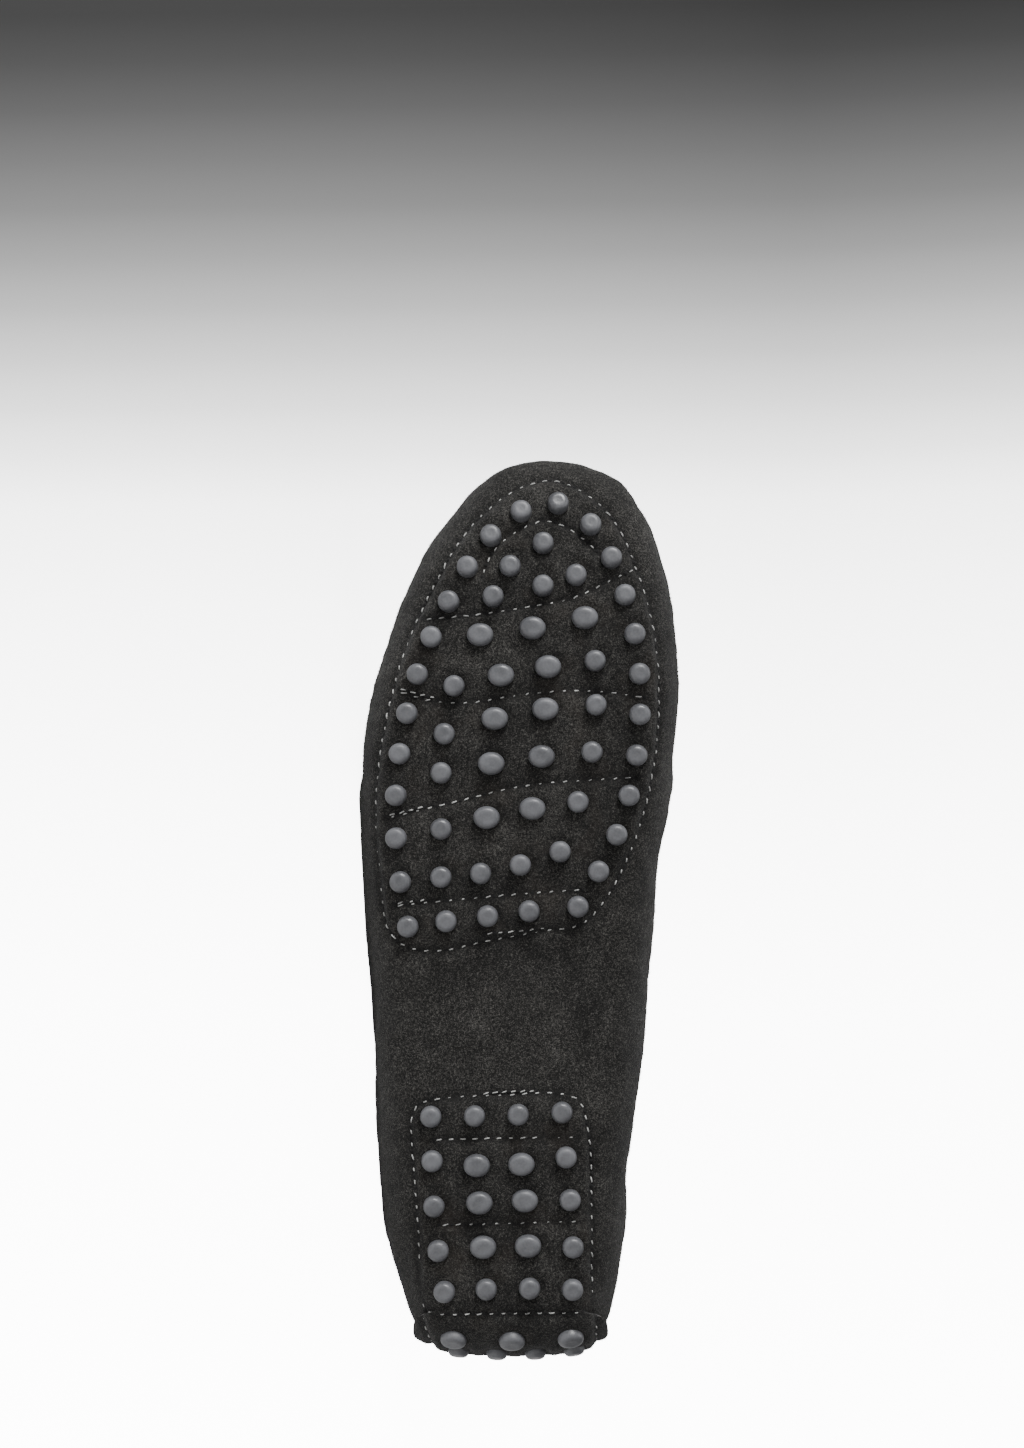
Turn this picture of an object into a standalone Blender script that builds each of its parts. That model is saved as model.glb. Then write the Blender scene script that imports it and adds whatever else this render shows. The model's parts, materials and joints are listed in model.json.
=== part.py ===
"""A right driving moccasin, lying on its outer side with the studded sole facing -Y and the toe towards -X.

The shoe is worked out upright in its own frame, in metres: x runs forward from the back of the heel, y runs
towards the inner (big toe) side and z runs up from the plane of the stud tips. The last step rolls the
finished shoe over onto the side that it rests on.
"""

import math
from collections import namedtuple

import bmesh
import bpy
import numpy as np
from mathutils import Matrix, Vector
from mathutils.bvhtree import BVHTree

MM = 0.001

# Driving sizes of the shoe
LENGTH = 290 * MM
BALL_WIDTH = 101 * MM
HEEL_WIDTH = 78 * MM
HEEL_HEIGHT = 66 * MM
INSTEP_HEIGHT = 80 * MM
TOE_SEAM_HEIGHT = 37 * MM
TOE_SPRING = 12 * MM
ARCH_LIFT = 3 * MM
THROAT_ALONG = 0.50

# Leather, rubber and sock thicknesses
UPPER_WALL = 1.8 * MM
APRON_WALL = 1.6 * MM
TAB_WALL = 1.4 * MM
TAB_SKIVED = 0.5 * MM
TAB_FLARE = 1.0 * MM
PLATE_THICKNESS = 1.6 * MM
INSOLE_THICKNESS = 2.5 * MM

# Seam ridge, rolled collar and throat
SEAM_RIDGE = 3.0 * MM
COLLAR_EDGE = 0.8 * MM
BINDING_RADIUS = 2.1 * MM
# the angle round the plan, in radians, that the binding's corner keeps from the throat's
BINDING_CORNER = 0.02
THROAT_REACH = 7 * MM
APRON_CROWN = 7.5 * MM

# Studs
STUD_HEIGHT = 4.5 * MM
STUD_DIAMETER = 6.9 * MM
STUD_OVAL = 8.6 * MM
STUD_OVAL_DEPTH = 7.3 * MM
STUD_TAPER = 0.3 * MM
STUD_SIDES = 7

# Clearances between pieces
CLEARANCE = 0.3 * MM
CURVED_CLEARANCE = 0.5 * MM

# Shape of the section
HEEL_TURN = 18 * MM
SIDE_TURN = 14 * MM
TOE_TURN = 20 * MM
SPINE_HEEL = 0.135
SPINE_TOE = 0.80
# the wall bends in at its knee, which lies this share of the way out where it stays upright to its top
KNEE_REACH = 0.97
KNEE_FADE = 0.2
# the level of the lip's top edge
LIP_TOP = 4.0

# Pads under the foot
PAD_MARGIN = 3 * MM
STUD_INSET = 6.2 * MM
EDGE_STUD_DRIFT = 40 * MM
EDGE_STUDS = 24

# Resting on the outer side
SUPPORT_MARGIN = 5 * MM
PRESSED_HEIGHT = 0.7 * MM

# Densities that decide which way the empty shoe balances, in kg per cubic metre
DENSITY = {"suede": 900, "stud_rubber": 1150, "insole": 500, "lining_edge": 900}

Station = namedtuple("Station", "along half centre")
# half is a share of the local width and centre a share of the ball width, positive towards the inner side;
# the upper starts a little in front of 0, which is the back of the heel tab
OUTLINE = [
    Station(0.000, 0.000, 0.000),
    Station(0.008, 0.130, -0.001),
    Station(0.011, 0.240, -0.002),
    Station(0.017, 0.325, -0.003),
    Station(0.027, 0.378, -0.004),
    Station(0.041, 0.410, -0.005),
    Station(0.060, 0.432, -0.008),
    Station(0.106, 0.472, -0.016),
    Station(0.162, 0.503, -0.023),
    Station(0.218, 0.509, -0.024),
    Station(0.329, 0.509, -0.010),
    Station(0.469, 0.491, -0.005),
    Station(0.553, 0.484, -0.002),
    Station(0.637, 0.496, 0.015),
    Station(0.693, 0.499, 0.028),
    Station(0.748, 0.489, 0.047),
    Station(0.804, 0.458, 0.067),
    Station(0.860, 0.414, 0.086),
    Station(0.916, 0.349, 0.104),
    Station(0.944, 0.298, 0.116),
    Station(0.972, 0.233, 0.124),
    Station(0.990, 0.143, 0.124),
    Station(1.000, 0.000, 0.124),
]

Rim = namedtuple("Rim", "along outer inner height")
# outer and inner are how far out the upper's top edge lies on each side, as shares of the half width there,
# and height is a share of the local height: the collar as far as the throat, then the apron seam
RIM = [
    Rim(0.00, 0.90, 0.90, 1.000),
    Rim(0.05, 0.86, 0.90, 0.970),
    Rim(0.12, 0.76, 0.95, 0.880),
    Rim(0.22, 0.69, 0.99, 0.765),
    Rim(0.33, 0.66, 1.00, 0.705),
    Rim(0.42, 0.66, 0.99, 0.755),
    Rim(0.48, 0.66, 0.93, 0.845),
    Rim(0.52, 0.66, 0.86, 0.868),
    Rim(0.58, 0.65, 0.775, 0.825),
    Rim(0.66, 0.65, 0.71, 0.780),
    Rim(0.75, 0.66, 0.69, 0.775),
    Rim(0.85, 0.68, 0.70, 0.870),
    Rim(0.93, 0.70, 0.72, 0.970),
    Rim(1.00, 0.74, 0.74, 1.000),
]

Wall = namedtuple("Wall", "along widest fullness")
# widest is the height of the widest level above the bottom, as a share of the heel height, and fullness says
# how high the wall stays upright before it leans in
WALL = [
    Wall(0.00, 0.330, 0.45),
    Wall(0.06, 0.310, 0.42),
    Wall(0.15, 0.270, 0.38),
    Wall(0.35, 0.240, 0.36),
    Wall(0.55, 0.240, 0.50),
    Wall(0.75, 0.235, 0.60),
    Wall(0.90, 0.180, 0.60),
    Wall(1.00, 0.120, 0.60),
]

Turn = namedtuple("Turn", "along heel side toe")
# how much of each named turn radius the rounding between bottom and wall has
TURN = [
    Turn(0.00, 1.00, 0.00, 0.00),
    Turn(0.03, 0.60, 0.45, 0.00),
    Turn(0.10, 0.00, 1.00, 0.00),
    Turn(0.80, 0.00, 1.00, 0.00),
    Turn(0.95, 0.00, 0.35, 0.65),
    Turn(1.00, 0.00, 0.00, 1.00),
]

Spot = namedtuple("Spot", "along across")
# the stitched edge of the front pad, from its outer rear corner round the toe to its inner rear corner
FRONT_PAD = [
    Spot(0.466, -0.372),
    Spot(0.533, -0.418),
    Spot(0.621, -0.434),
    Spot(0.709, -0.402),
    Spot(0.785, -0.342),
    Spot(0.853, -0.257),
    Spot(0.931, -0.114),
    Spot(0.965, 0.010),
    Spot(0.977, 0.120),
    Spot(0.964, 0.225),
    Spot(0.932, 0.323),
    Spot(0.871, 0.402),
    Spot(0.805, 0.453),
    Spot(0.731, 0.469),
    Spot(0.642, 0.444),
    Spot(0.560, 0.371),
    Spot(0.500, 0.272),
]
# its rear edge, from the inner corner back to the outer one
FRONT_PAD_REAR = [
    Spot(0.485, 0.225),
    Spot(0.476, 0.089),
    Spot(0.465, -0.082),
    Spot(0.454, -0.253),
    Spot(0.457, -0.330),
]
# the two ends of the row of studs that follows the front pad's edge
EDGE_STUD_FIRST = Spot(0.481, -0.330)
EDGE_STUD_LAST = Spot(0.503, 0.209)

StudRow = namedtuple("StudRow", "along across to_along to_across count bow ovals")
# each row runs from one spot to another, bow is how far its middle lies towards the toe as a share of the
# length, and ovals are the numbers of its oval studs. At the heel along goes on round the turn and up the back
FRONT_ROWS = [
    StudRow(0.881, -0.006, 0.871, 0.203, 3, 0.031, ()),
    StudRow(0.847, -0.060, 0.859, 0.098, 2, 0.0, ()),
    StudRow(0.804, -0.101, 0.823, 0.231, 3, -0.002, (0, 1, 2)),
    StudRow(0.747, -0.184, 0.775, 0.263, 4, 0.003, (1, 2)),
    StudRow(0.694, -0.215, 0.726, 0.266, 4, 0.007, (1, 2)),
    StudRow(0.651, -0.225, 0.674, 0.253, 4, 0.003, (1, 2)),
    StudRow(0.589, -0.225, 0.619, 0.209, 4, 0.003, (1, 2)),
    StudRow(0.536, -0.225, 0.564, 0.152, 4, -0.006, ()),
    StudRow(0.487, -0.209, 0.498, 0.054, 3, 0.0, ()),
]
HEEL_ROWS = [
    StudRow(0.272, -0.257, 0.277, 0.158, 4, -0.001, ()),
    StudRow(0.223, -0.253, 0.227, 0.171, 4, -0.007, (1, 2)),
    StudRow(0.173, -0.247, 0.180, 0.184, 4, 0.002, (1, 2)),
    StudRow(0.124, -0.234, 0.128, 0.193, 4, 0.003, (1, 2)),
    StudRow(0.078, -0.219, 0.081, 0.193, 4, 0.003, ()),
    StudRow(0.0305, -0.183, 0.0325, 0.183, 3, -0.0015, (0, 1, 2)),
    StudRow(0.003, -0.168, 0.003, 0.194, 4, 0.0, ()),
    StudRow(-0.053, -0.125, -0.053, 0.135, 3, 0.0, (0, 1, 2)),
]

HeelPad = namedtuple("HeelPad", "along outer inner")
# the heel pad's edges, on the same coordinates as its studs
HEEL_PAD = [
    HeelPad(0.292, -0.300, 0.200),
    HeelPad(0.250, -0.306, 0.228),
    HeelPad(0.200, -0.300, 0.238),
    HeelPad(0.150, -0.292, 0.244),
    HeelPad(0.100, -0.284, 0.249),
    HeelPad(0.060, -0.276, 0.250),
    HeelPad(0.020, -0.262, 0.250),
    HeelPad(-0.020, -0.250, 0.248),
    HeelPad(-0.050, -0.225, 0.235),
    HeelPad(-0.078, -0.170, 0.180),
]

HeelTab = namedtuple("HeelTab", "level half thickness flare")
# the tab up the back of the heel: half is its half width as a share of the heel width, thickness a share of
# the way from its skived lower edge to its full wall, and flare how far its side edges stand off
HEEL_TAB = [
    HeelTab(1.20, 0.325, 0.0, 0.0),
    HeelTab(1.40, 0.368, 0.8, 0.1),
    HeelTab(1.60, 0.375, 1.0, 0.5),
    HeelTab(1.80, 0.372, 1.0, 1.0),
    HeelTab(2.00, 0.362, 1.0, 1.0),
    HeelTab(2.40, 0.300, 1.0, 0.3),
    HeelTab(2.75, 0.220, 1.0, 0.1),
    HeelTab(2.95, 0.180, 1.0, 0.1),
]
TAB_COLUMNS = 11

# How finely the solids are faceted
COLLAR_COLUMNS = 12
SEAM_COLUMNS = 12
LEVELS = [0.0, 0.75, 1.0, 1.2, 1.4, 1.6, 1.8, 2.0, 2.4, 2.75, 3.0, LIP_TOP]
INSOLE_LEVELS = [0.0, 0.75, 1.0, 1.15, 1.3]
APRON_LEVELS = [0.0, 1.0, 1.2, 1.5, 1.75, 2.0]
PAD_COLUMNS = 32
PAD_SHARES = [0.0, 0.25, 0.6, 1.0]
HEEL_PAD_ROWS = 20
HEEL_PAD_COLUMNS = 8
FINE_COLUMNS = 180
FINE_LEVELS = np.concatenate([np.linspace(0, 1, 12), np.linspace(1.04, 2, 24), np.linspace(2.04, 3, 24)])


def ramp(value, start, end):
    """A smooth step from 0 at start to 1 at end."""
    share = np.clip((value - start) / (end - start), 0, 1)
    return share * share * (3 - 2 * share)


def smooth_curve(knots, values, where):
    """A smooth curve through the values at the knots, read at the places in where."""
    knots = np.asarray(knots, float)
    values = np.asarray(values, float)
    steps = np.diff(knots)
    rises = np.diff(values) / steps
    slopes = np.empty(len(knots))
    slopes[0], slopes[-1] = rises[0], rises[-1]
    slopes[1:-1] = (rises[:-1] * steps[1:] + rises[1:] * steps[:-1]) / (steps[:-1] + steps[1:])
    where = np.clip(where, knots[0], knots[-1])
    i = np.clip(np.searchsorted(knots, where, side="right") - 1, 0, len(steps) - 1)
    h = steps[i]
    t = (where - knots[i]) / h
    return (
        values[i] * (1 + 2 * t) * (1 - t) ** 2
        + h * slopes[i] * t * (1 - t) ** 2
        + values[i + 1] * t * t * (3 - 2 * t)
        - h * slopes[i + 1] * t * t * (1 - t)
    )


def column(table, name):
    """One named column of a table."""
    return [getattr(row, name) for row in table]


def heel_start():
    """Where the back of the upper lies, just in front of the heel tab, as a share of the length."""
    return (CURVED_CLEARANCE + TAB_WALL) / LENGTH


def along_of(theta):
    """The share of the length at an angle round the plan outline: 0 at the heel, pi at the toe."""
    return heel_start() + (1 - heel_start()) * (1 - np.cos(theta)) / 2


def angle_of(along):
    """The angle round the plan outline at a share of the length."""
    share = (np.asarray(along, float) - heel_start()) / (1 - heel_start())
    return np.arccos(np.clip(1 - 2 * share, -1, 1))


def local_width(along):
    """The width that the outline's shares refer to: the heel's at the back, the ball's in front."""
    return HEEL_WIDTH + (BALL_WIDTH - HEEL_WIDTH) * ramp(along, 0.15, 0.65)


def local_height(along):
    """The height that the rim's shares refer to: heel, then instep, then toe."""
    rear = HEEL_HEIGHT + (INSTEP_HEIGHT - HEEL_HEIGHT) * ramp(along, 0, THROAT_ALONG)
    return rear + (TOE_SEAM_HEIGHT - INSTEP_HEIGHT) * ramp(along, THROAT_ALONG, 1)


def half_width(along):
    """Half the shoe's greatest width at a share of its length."""
    share = smooth_curve(angle_of(column(OUTLINE, "along")), column(OUTLINE, "half"), angle_of(along))
    return share * local_width(along)


def centre_line(along):
    """How far the middle of the plan lies towards the inner side."""
    return smooth_curve(column(OUTLINE, "along"), column(OUTLINE, "centre"), along) * BALL_WIDTH


def bottom_height(x, y):
    """Height of the leather under the foot: level on its studs, lifted at the arch and sprung at the toe."""
    along = np.clip(x / LENGTH, 0, 1)
    spring = TOE_SPRING * np.clip((along - 0.74) / 0.26, 0, 1) ** 2.2
    side = np.clip((y - centre_line(along)) / BALL_WIDTH * 2, -1, 1)
    arch = ARCH_LIFT * ramp(along, 0.26, 0.38) * (1 - ramp(along, 0.38, 0.52)) * (0.6 + 0.4 * side)
    return STUD_HEIGHT + spring + arch


def plan_ray(theta):
    """The spine point and the outline point that a column's ray joins in plan, with its share of the length."""
    theta = np.asarray(theta, float)
    along = along_of(theta)
    inner = np.where(np.sin(theta) >= 0, 1.0, -1.0)
    edge_x = along * LENGTH
    edge_y = centre_line(along) + inner * half_width(along)
    spine = np.clip(along, SPINE_HEEL, SPINE_TOE)
    return spine * LENGTH, centre_line(spine), edge_x, edge_y, along, inner


def turn_size(along):
    """How far in from the outline the bottom starts to round up into the wall."""
    theta = angle_of(along)
    knots = angle_of(column(TURN, "along"))
    heel = smooth_curve(knots, column(TURN, "heel"), theta)
    side = smooth_curve(knots, column(TURN, "side"), theta)
    toe = smooth_curve(knots, column(TURN, "toe"), theta)
    return heel * HEEL_TURN + side * SIDE_TURN + toe * TOE_TURN


def widest_level(along):
    """Height of the widest level above the bottom."""
    return smooth_curve(column(WALL, "along"), column(WALL, "widest"), along) * HEEL_HEIGHT


def rim_reach(along, inner):
    """How far out along its ray the top edge lies."""
    knots = column(RIM, "along")
    on_outer = smooth_curve(knots, column(RIM, "outer"), along)
    on_inner = smooth_curve(knots, column(RIM, "inner"), along)
    blend = 0.5 + 0.5 * inner * ramp(np.minimum(along, 1 - along), 0, 0.03)
    return on_outer + (on_inner - on_outer) * blend


def rim_height(along):
    """Height of the top edge: the collar, then the foot of the seam ridge."""
    return smooth_curve(column(RIM, "along"), column(RIM, "height"), along) * local_height(along)


def outer_face(theta, level):
    """Outer face of the upper. level runs 0 to 1 over the bottom, to 2 round the turn, to 3 up the wall and
    to 4 over its lip: the seam ridge in front, a plain edge under the collar's binding."""
    theta, level = np.broadcast_arrays(np.asarray(theta, float), np.asarray(level, float))
    spine_x, spine_y, edge_x, edge_y, along, inner = plan_ray(theta)
    reach = np.hypot(edge_x - spine_x, edge_y - spine_y)
    flat = 1 - turn_size(along) / reach
    turn = np.clip(level - 1, 0, 1) * math.pi / 2
    share = np.where(level < 1, level * flat, flat + (1 - flat) * np.sin(turn))
    x = spine_x + share * (edge_x - spine_x)
    y = spine_y + share * (edge_y - spine_y)
    rise = widest_level(along)
    z = bottom_height(x, y) + rise * (1 - np.cos(turn))

    up = np.clip(level - 2, 0, 1)
    start_z = bottom_height(edge_x, edge_y) + rise
    top_share, top_z = rim_reach(along, inner), rim_height(along)
    fullness = smooth_curve(column(WALL, "along"), column(WALL, "fullness"), along)
    knee_share = KNEE_REACH + (1 - KNEE_REACH) * np.clip((1 - top_share) / KNEE_FADE, 0, 1)
    knee_z = start_z + fullness * (top_z - start_z)
    wall_share = (1 - up) ** 2 + 2 * up * (1 - up) * knee_share + up**2 * top_share
    wall_z = (1 - up) ** 2 * start_z + 2 * up * (1 - up) * knee_z + up**2 * top_z
    on_wall = level > 2
    x = np.where(on_wall, spine_x + wall_share * (edge_x - spine_x), x)
    y = np.where(on_wall, spine_y + wall_share * (edge_y - spine_y), y)
    z = np.where(on_wall, wall_z, z)

    lip = np.clip(level - 3, 0, 1)
    seam = ramp(along, THROAT_ALONG, THROAT_ALONG + 0.04)
    shift = top_share - knee_share
    lean = np.stack([shift * (edge_x - spine_x), shift * (edge_y - spine_y), top_z - knee_z], -1)
    lean /= np.linalg.norm(lean, axis=-1, keepdims=True)
    upright = np.array([0.0, 0.0, 1.0])
    edge = lip[..., None] * (seam[..., None] * SEAM_RIDGE * upright + (1 - seam[..., None]) * COLLAR_EDGE * lean)
    return np.stack([x, y, z], -1) + edge


def outward(face, theta, level, low=0.0, high=LIP_TOP):
    """Unit normals of a face, pointing out of the shoe, by differences."""
    step = 1e-4
    theta, level = np.broadcast_arrays(np.asarray(theta, float), np.asarray(level, float))
    round_plan = face(theta + step, level) - face(theta - step, level)
    across = face(theta, np.clip(level + step, low, high)) - face(theta, np.clip(level - step, low, high))
    normal = np.cross(across, round_plan)
    return normal / np.maximum(np.linalg.norm(normal, axis=-1, keepdims=True), 1e-12)


def outer_normal(theta, level):
    """Normals of the upper's outer face. Over the bottom they come from its height alone."""
    normal = outward(outer_face, theta, level)
    place = outer_face(theta, level)
    x, y, step = place[..., 0], place[..., 1], 1e-4
    slope_x = (bottom_height(x + step, y) - bottom_height(x - step, y)) / step / 2
    slope_y = (bottom_height(x, y + step) - bottom_height(x, y - step)) / step / 2
    beneath = np.stack([slope_x, slope_y, -np.ones_like(slope_x)], -1)
    beneath /= np.linalg.norm(beneath, axis=-1, keepdims=True)
    on_bottom = np.broadcast_to(np.asarray(level), slope_x.shape) <= 1
    return np.where(on_bottom[..., None], beneath, normal)


def within(theta, level, depth):
    """The upper's outer face moved inwards by depth, or outwards if depth is negative."""
    return outer_face(theta, level) - np.asarray(depth)[..., None] * outer_normal(theta, level)


def crown_height(along):
    """Height of the apron along the spine of the shoe."""
    return rim_height(along) + APRON_CROWN


def apron_face(theta, level):
    """Top face of the apron: level runs 0 to 1 down its lip and to 2 over to the spine of the shoe."""
    theta, level = np.broadcast_arrays(np.asarray(theta, float), np.asarray(level, float))
    spine_x, spine_y, edge_x, edge_y, along, inner = plan_ray(theta)
    rim = outer_face(theta, np.full_like(theta, 3.0))
    tangent = outer_face(theta + 1e-4, np.full_like(theta, 3.0))
    tangent -= outer_face(theta - 1e-4, np.full_like(theta, 3.0))
    ray = np.stack([spine_x - rim[..., 0], spine_y - rim[..., 1]], -1)
    span = np.linalg.norm(ray, axis=-1)
    square = np.abs(ray[..., 0] * tangent[..., 1] - ray[..., 1] * tangent[..., 0])
    square /= span * np.hypot(tangent[..., 0], tangent[..., 1])
    inset = (UPPER_WALL + CLEARANCE + APRON_WALL) / square
    over = np.clip(level - 1, 0, 1)
    share = (inset + over * (span - inset)) / span
    seam = ramp(along, THROAT_ALONG, THROAT_ALONG + 0.04)
    lip = np.clip(1 - level, 0, 1) * (SEAM_RIDGE * seam + COLLAR_EDGE * (1 - seam))
    z = rim[..., 2] + (crown_height(spine_x / LENGTH) - rim[..., 2]) * (1 - (1 - over) ** 2) + lip
    back = THROAT_REACH * over * (2 - over) * (1 - ramp(along, THROAT_ALONG, THROAT_ALONG + 0.09))
    x = rim[..., 0] + share * ray[..., 0] - back
    y = rim[..., 1] + share * ray[..., 1]
    return np.stack([x, y, z + 0.25 * back], -1)


def apron_within(theta, level, depth):
    """The apron's top face moved down by depth. Along the spine its normals come from the crown alone."""
    theta, level = np.broadcast_arrays(np.asarray(theta, float), np.asarray(level, float))
    normal = outward(apron_face, theta, np.minimum(level, 1.97), 1e-6, 2.0)
    spine = np.clip(along_of(theta), SPINE_HEEL, SPINE_TOE)
    slope = (crown_height(spine + 1e-4) - crown_height(spine - 1e-4)) / (2e-4 * LENGTH)
    above = np.stack([-slope, np.zeros_like(slope), np.ones_like(slope)], -1)
    above /= np.linalg.norm(above, axis=-1, keepdims=True)
    normal = np.where((level >= 2)[..., None], above, normal)
    return apron_face(theta, level) - np.asarray(depth)[..., None] * normal


def bunched(count):
    """Evenly rising shares from -1 to 1 that lie closer together in the middle, where heel and toe are round."""
    share = np.linspace(-1, 1, 2 * count + 1)
    return share - 0.12 * np.sin(math.pi * share)


def shoe_columns():
    """Angles of the upper's columns, with one exactly at each throat corner."""
    throat = float(angle_of(THROAT_ALONG))
    collar = throat * bunched(COLLAR_COLUMNS)
    seam = math.pi + (math.pi - throat) * bunched(SEAM_COLUMNS)
    return np.concatenate([collar[:-1], seam[:-1]])


def mesh_object(name, points, faces, material=None, merge=1e-6):
    """An object from points and faces, with doubles merged and its faces turned outwards."""
    mesh = bpy.data.meshes.new(name)
    mesh.from_pydata([tuple(p) for p in points], [], faces)
    shape = bmesh.new()
    shape.from_mesh(mesh)
    bmesh.ops.remove_doubles(shape, verts=shape.verts, dist=merge)
    bmesh.ops.dissolve_degenerate(shape, edges=shape.edges, dist=merge)
    bmesh.ops.recalc_face_normals(shape, faces=shape.faces)
    shape.to_mesh(mesh)
    shape.free()
    piece = bpy.data.objects.new(name, mesh)
    bpy.context.scene.collection.objects.link(piece)
    if material:
        mesh.materials.append(material)
    return piece


def grid_faces(columns, rows, start, closed):
    """Quads of a grid whose point numbers run down each column first."""
    faces = []
    for i in range(columns if closed else columns - 1):
        j = (i + 1) % columns
        for k in range(rows - 1):
            a, b = start + i * rows + k, start + j * rows + k
            faces.append((a, b, b + 1, a + 1))
    return faces


def sheet_solid(name, near, far, material, closed_columns, seal_first, seal_last, merge=1e-6):
    """A closed solid between two grids of the same size: columns, rows, 3. seal_first and seal_last say
    whether the first and the last row are open edges that get a rim, or meet in a spine."""
    columns, rows = near.shape[:2]
    points = np.concatenate([near.reshape(-1, 3), far.reshape(-1, 3)])
    other = columns * rows
    faces = grid_faces(columns, rows, 0, closed_columns) + grid_faces(columns, rows, other, closed_columns)
    for row, sealed in ((0, seal_first), (rows - 1, seal_last)):
        if not sealed:
            continue
        for i in range(columns if closed_columns else columns - 1):
            a, b = i * rows + row, (i + 1) % columns * rows + row
            faces.append((a, b, b + other, a + other))
    if not closed_columns:
        for i in (0, columns - 1):
            for k in range(rows - 1):
                a, b = i * rows + k, i * rows + k + 1
                faces.append((a, b, b + other, a + other))
    return mesh_object(name, points, faces, material, merge)


def material(name, colour, roughness):
    """A plain Principled BSDF of one colour."""
    made = bpy.data.materials.new(name)
    made.use_nodes = True
    shader = made.node_tree.nodes["Principled BSDF"]
    shader.inputs["Base Color"].default_value = (*colour, 1)
    shader.inputs["Roughness"].default_value = roughness
    shader.inputs["Metallic"].default_value = 0.0
    made.diffuse_color = (*colour, 1)
    return made


class Surface:
    """The upper's outer face as a fine mesh that studs and pads are projected onto."""

    def __init__(self):
        theta = np.linspace(0, 2 * math.pi, FINE_COLUMNS, endpoint=False)
        points = outer_face(theta[:, None], FINE_LEVELS[None, :])
        faces = grid_faces(FINE_COLUMNS, len(FINE_LEVELS), 0, True)
        self.tree = BVHTree.FromPolygons([tuple(p) for p in points.reshape(-1, 3)], faces)
        self.turn_x = heel_start() * LENGTH + HEEL_TURN
        self.turn_z = STUD_HEIGHT + float(widest_level(0.0))

    def ray(self, along, across):
        """Where a ray starts inside the shoe and which way it goes out: down through the bottom, and round
        and up the back where along is less than the heel's turn."""
        past = self.turn_x - along
        arc = HEEL_TURN * math.pi / 2
        if past <= 0:
            return Vector((along, across, self.turn_z)), Vector((0, 0, -1))
        tilt = min(past / arc, 1.0) * math.pi / 2
        height = self.turn_z + max(past - arc, 0.0)
        return Vector((self.turn_x, across, height)), Vector((-math.sin(tilt), 0, -math.cos(tilt)))

    def hit(self, along, across):
        """The point on the outer face at a place under the foot."""
        start, way = self.ray(along, across)
        return self.tree.ray_cast(start, way)[0]

    def place(self, along, across):
        """The point on the outer face and the outward normal there."""
        step = 1.5 * MM
        ahead = self.hit(along + step, across) - self.hit(along - step, across)
        aside = self.hit(along, across + step) - self.hit(along, across - step)
        return self.hit(along, across), aside.cross(ahead).normalized()


def curve_through(spots, count, closed):
    """Evenly spaced points on a smooth curve through spots given as shares, in metres."""
    points = np.array([(s.along * LENGTH, s.across * BALL_WIDTH) for s in spots])
    if closed:
        points = np.vstack([points[-2:], points, points[:3]])
    steps = np.hypot(*np.diff(points, axis=0).T)
    knots = np.concatenate([[0], np.cumsum(steps)])
    low, high = (knots[2], knots[-3]) if closed else (0, knots[-1])
    where = np.linspace(low, high, 20 * count + 1)
    fine = np.stack([smooth_curve(knots, points[:, k], where) for k in (0, 1)], -1)
    run = np.concatenate([[0], np.cumsum(np.hypot(*np.diff(fine, axis=0).T))])
    even = np.linspace(0, run[-1], count, endpoint=not closed)
    return np.stack([np.interp(even, run, fine[:, k]) for k in (0, 1)], -1)


def moved_in(path, distance):
    """A path moved to its left-hand side by a distance, which is inwards on the pads' edges."""
    way = np.gradient(path, axis=0)
    way /= np.linalg.norm(way, axis=1, keepdims=True)
    return path + distance * np.stack([-way[:, 1], way[:, 0]], -1)


def edge_studs():
    """Places of the studs that follow the front pad's stitched edge, a little wider apart on its outer side."""
    inside = moved_in(curve_through(FRONT_PAD, 120, False), STUD_INSET)
    first = (EDGE_STUD_FIRST.along * LENGTH, EDGE_STUD_FIRST.across * BALL_WIDTH)
    last = (EDGE_STUD_LAST.along * LENGTH, EDGE_STUD_LAST.across * BALL_WIDTH)
    kept = [tuple(p) for p in inside if p[0] > max(first[0], last[0]) + STUD_INSET]
    path = np.array([first] + kept + [last])
    run = np.concatenate([[0], np.cumsum(np.hypot(*np.diff(path, axis=0).T))])
    share = np.linspace(0, 1, EDGE_STUDS)
    places = run[-1] * share + EDGE_STUD_DRIFT * share * (1 - share) ** 4
    return [(np.interp(s, run, path[:, 0]), np.interp(s, run, path[:, 1]), False) for s in places]


def row_studs(rows):
    """Places of the studs of a table of rows, as along, across and whether each is oval."""
    places = []
    for row in rows:
        for k in range(row.count):
            share = k / (row.count - 1)
            bow = row.bow * 4 * share * (1 - share)
            along = row.along + (row.to_along - row.along) * share + bow
            across = row.across + (row.to_across - row.across) * share
            places.append((along * LENGTH, across * BALL_WIDTH, k in row.ovals))
    return places


def stud_frame(surface, along, across):
    """The middle of a stud on the outer face, its axis, and its two directions across. Under the foot the
    place given is where the stud's tip stands."""
    point, axis = surface.place(along, across)
    if along > surface.turn_x:
        point, axis = surface.place(along - axis.x * STUD_HEIGHT, across - axis.y * STUD_HEIGHT)
    side = (Vector((0, 1, 0)) - axis * axis.y).normalized()
    return point, axis, side, side.cross(axis)


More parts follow.
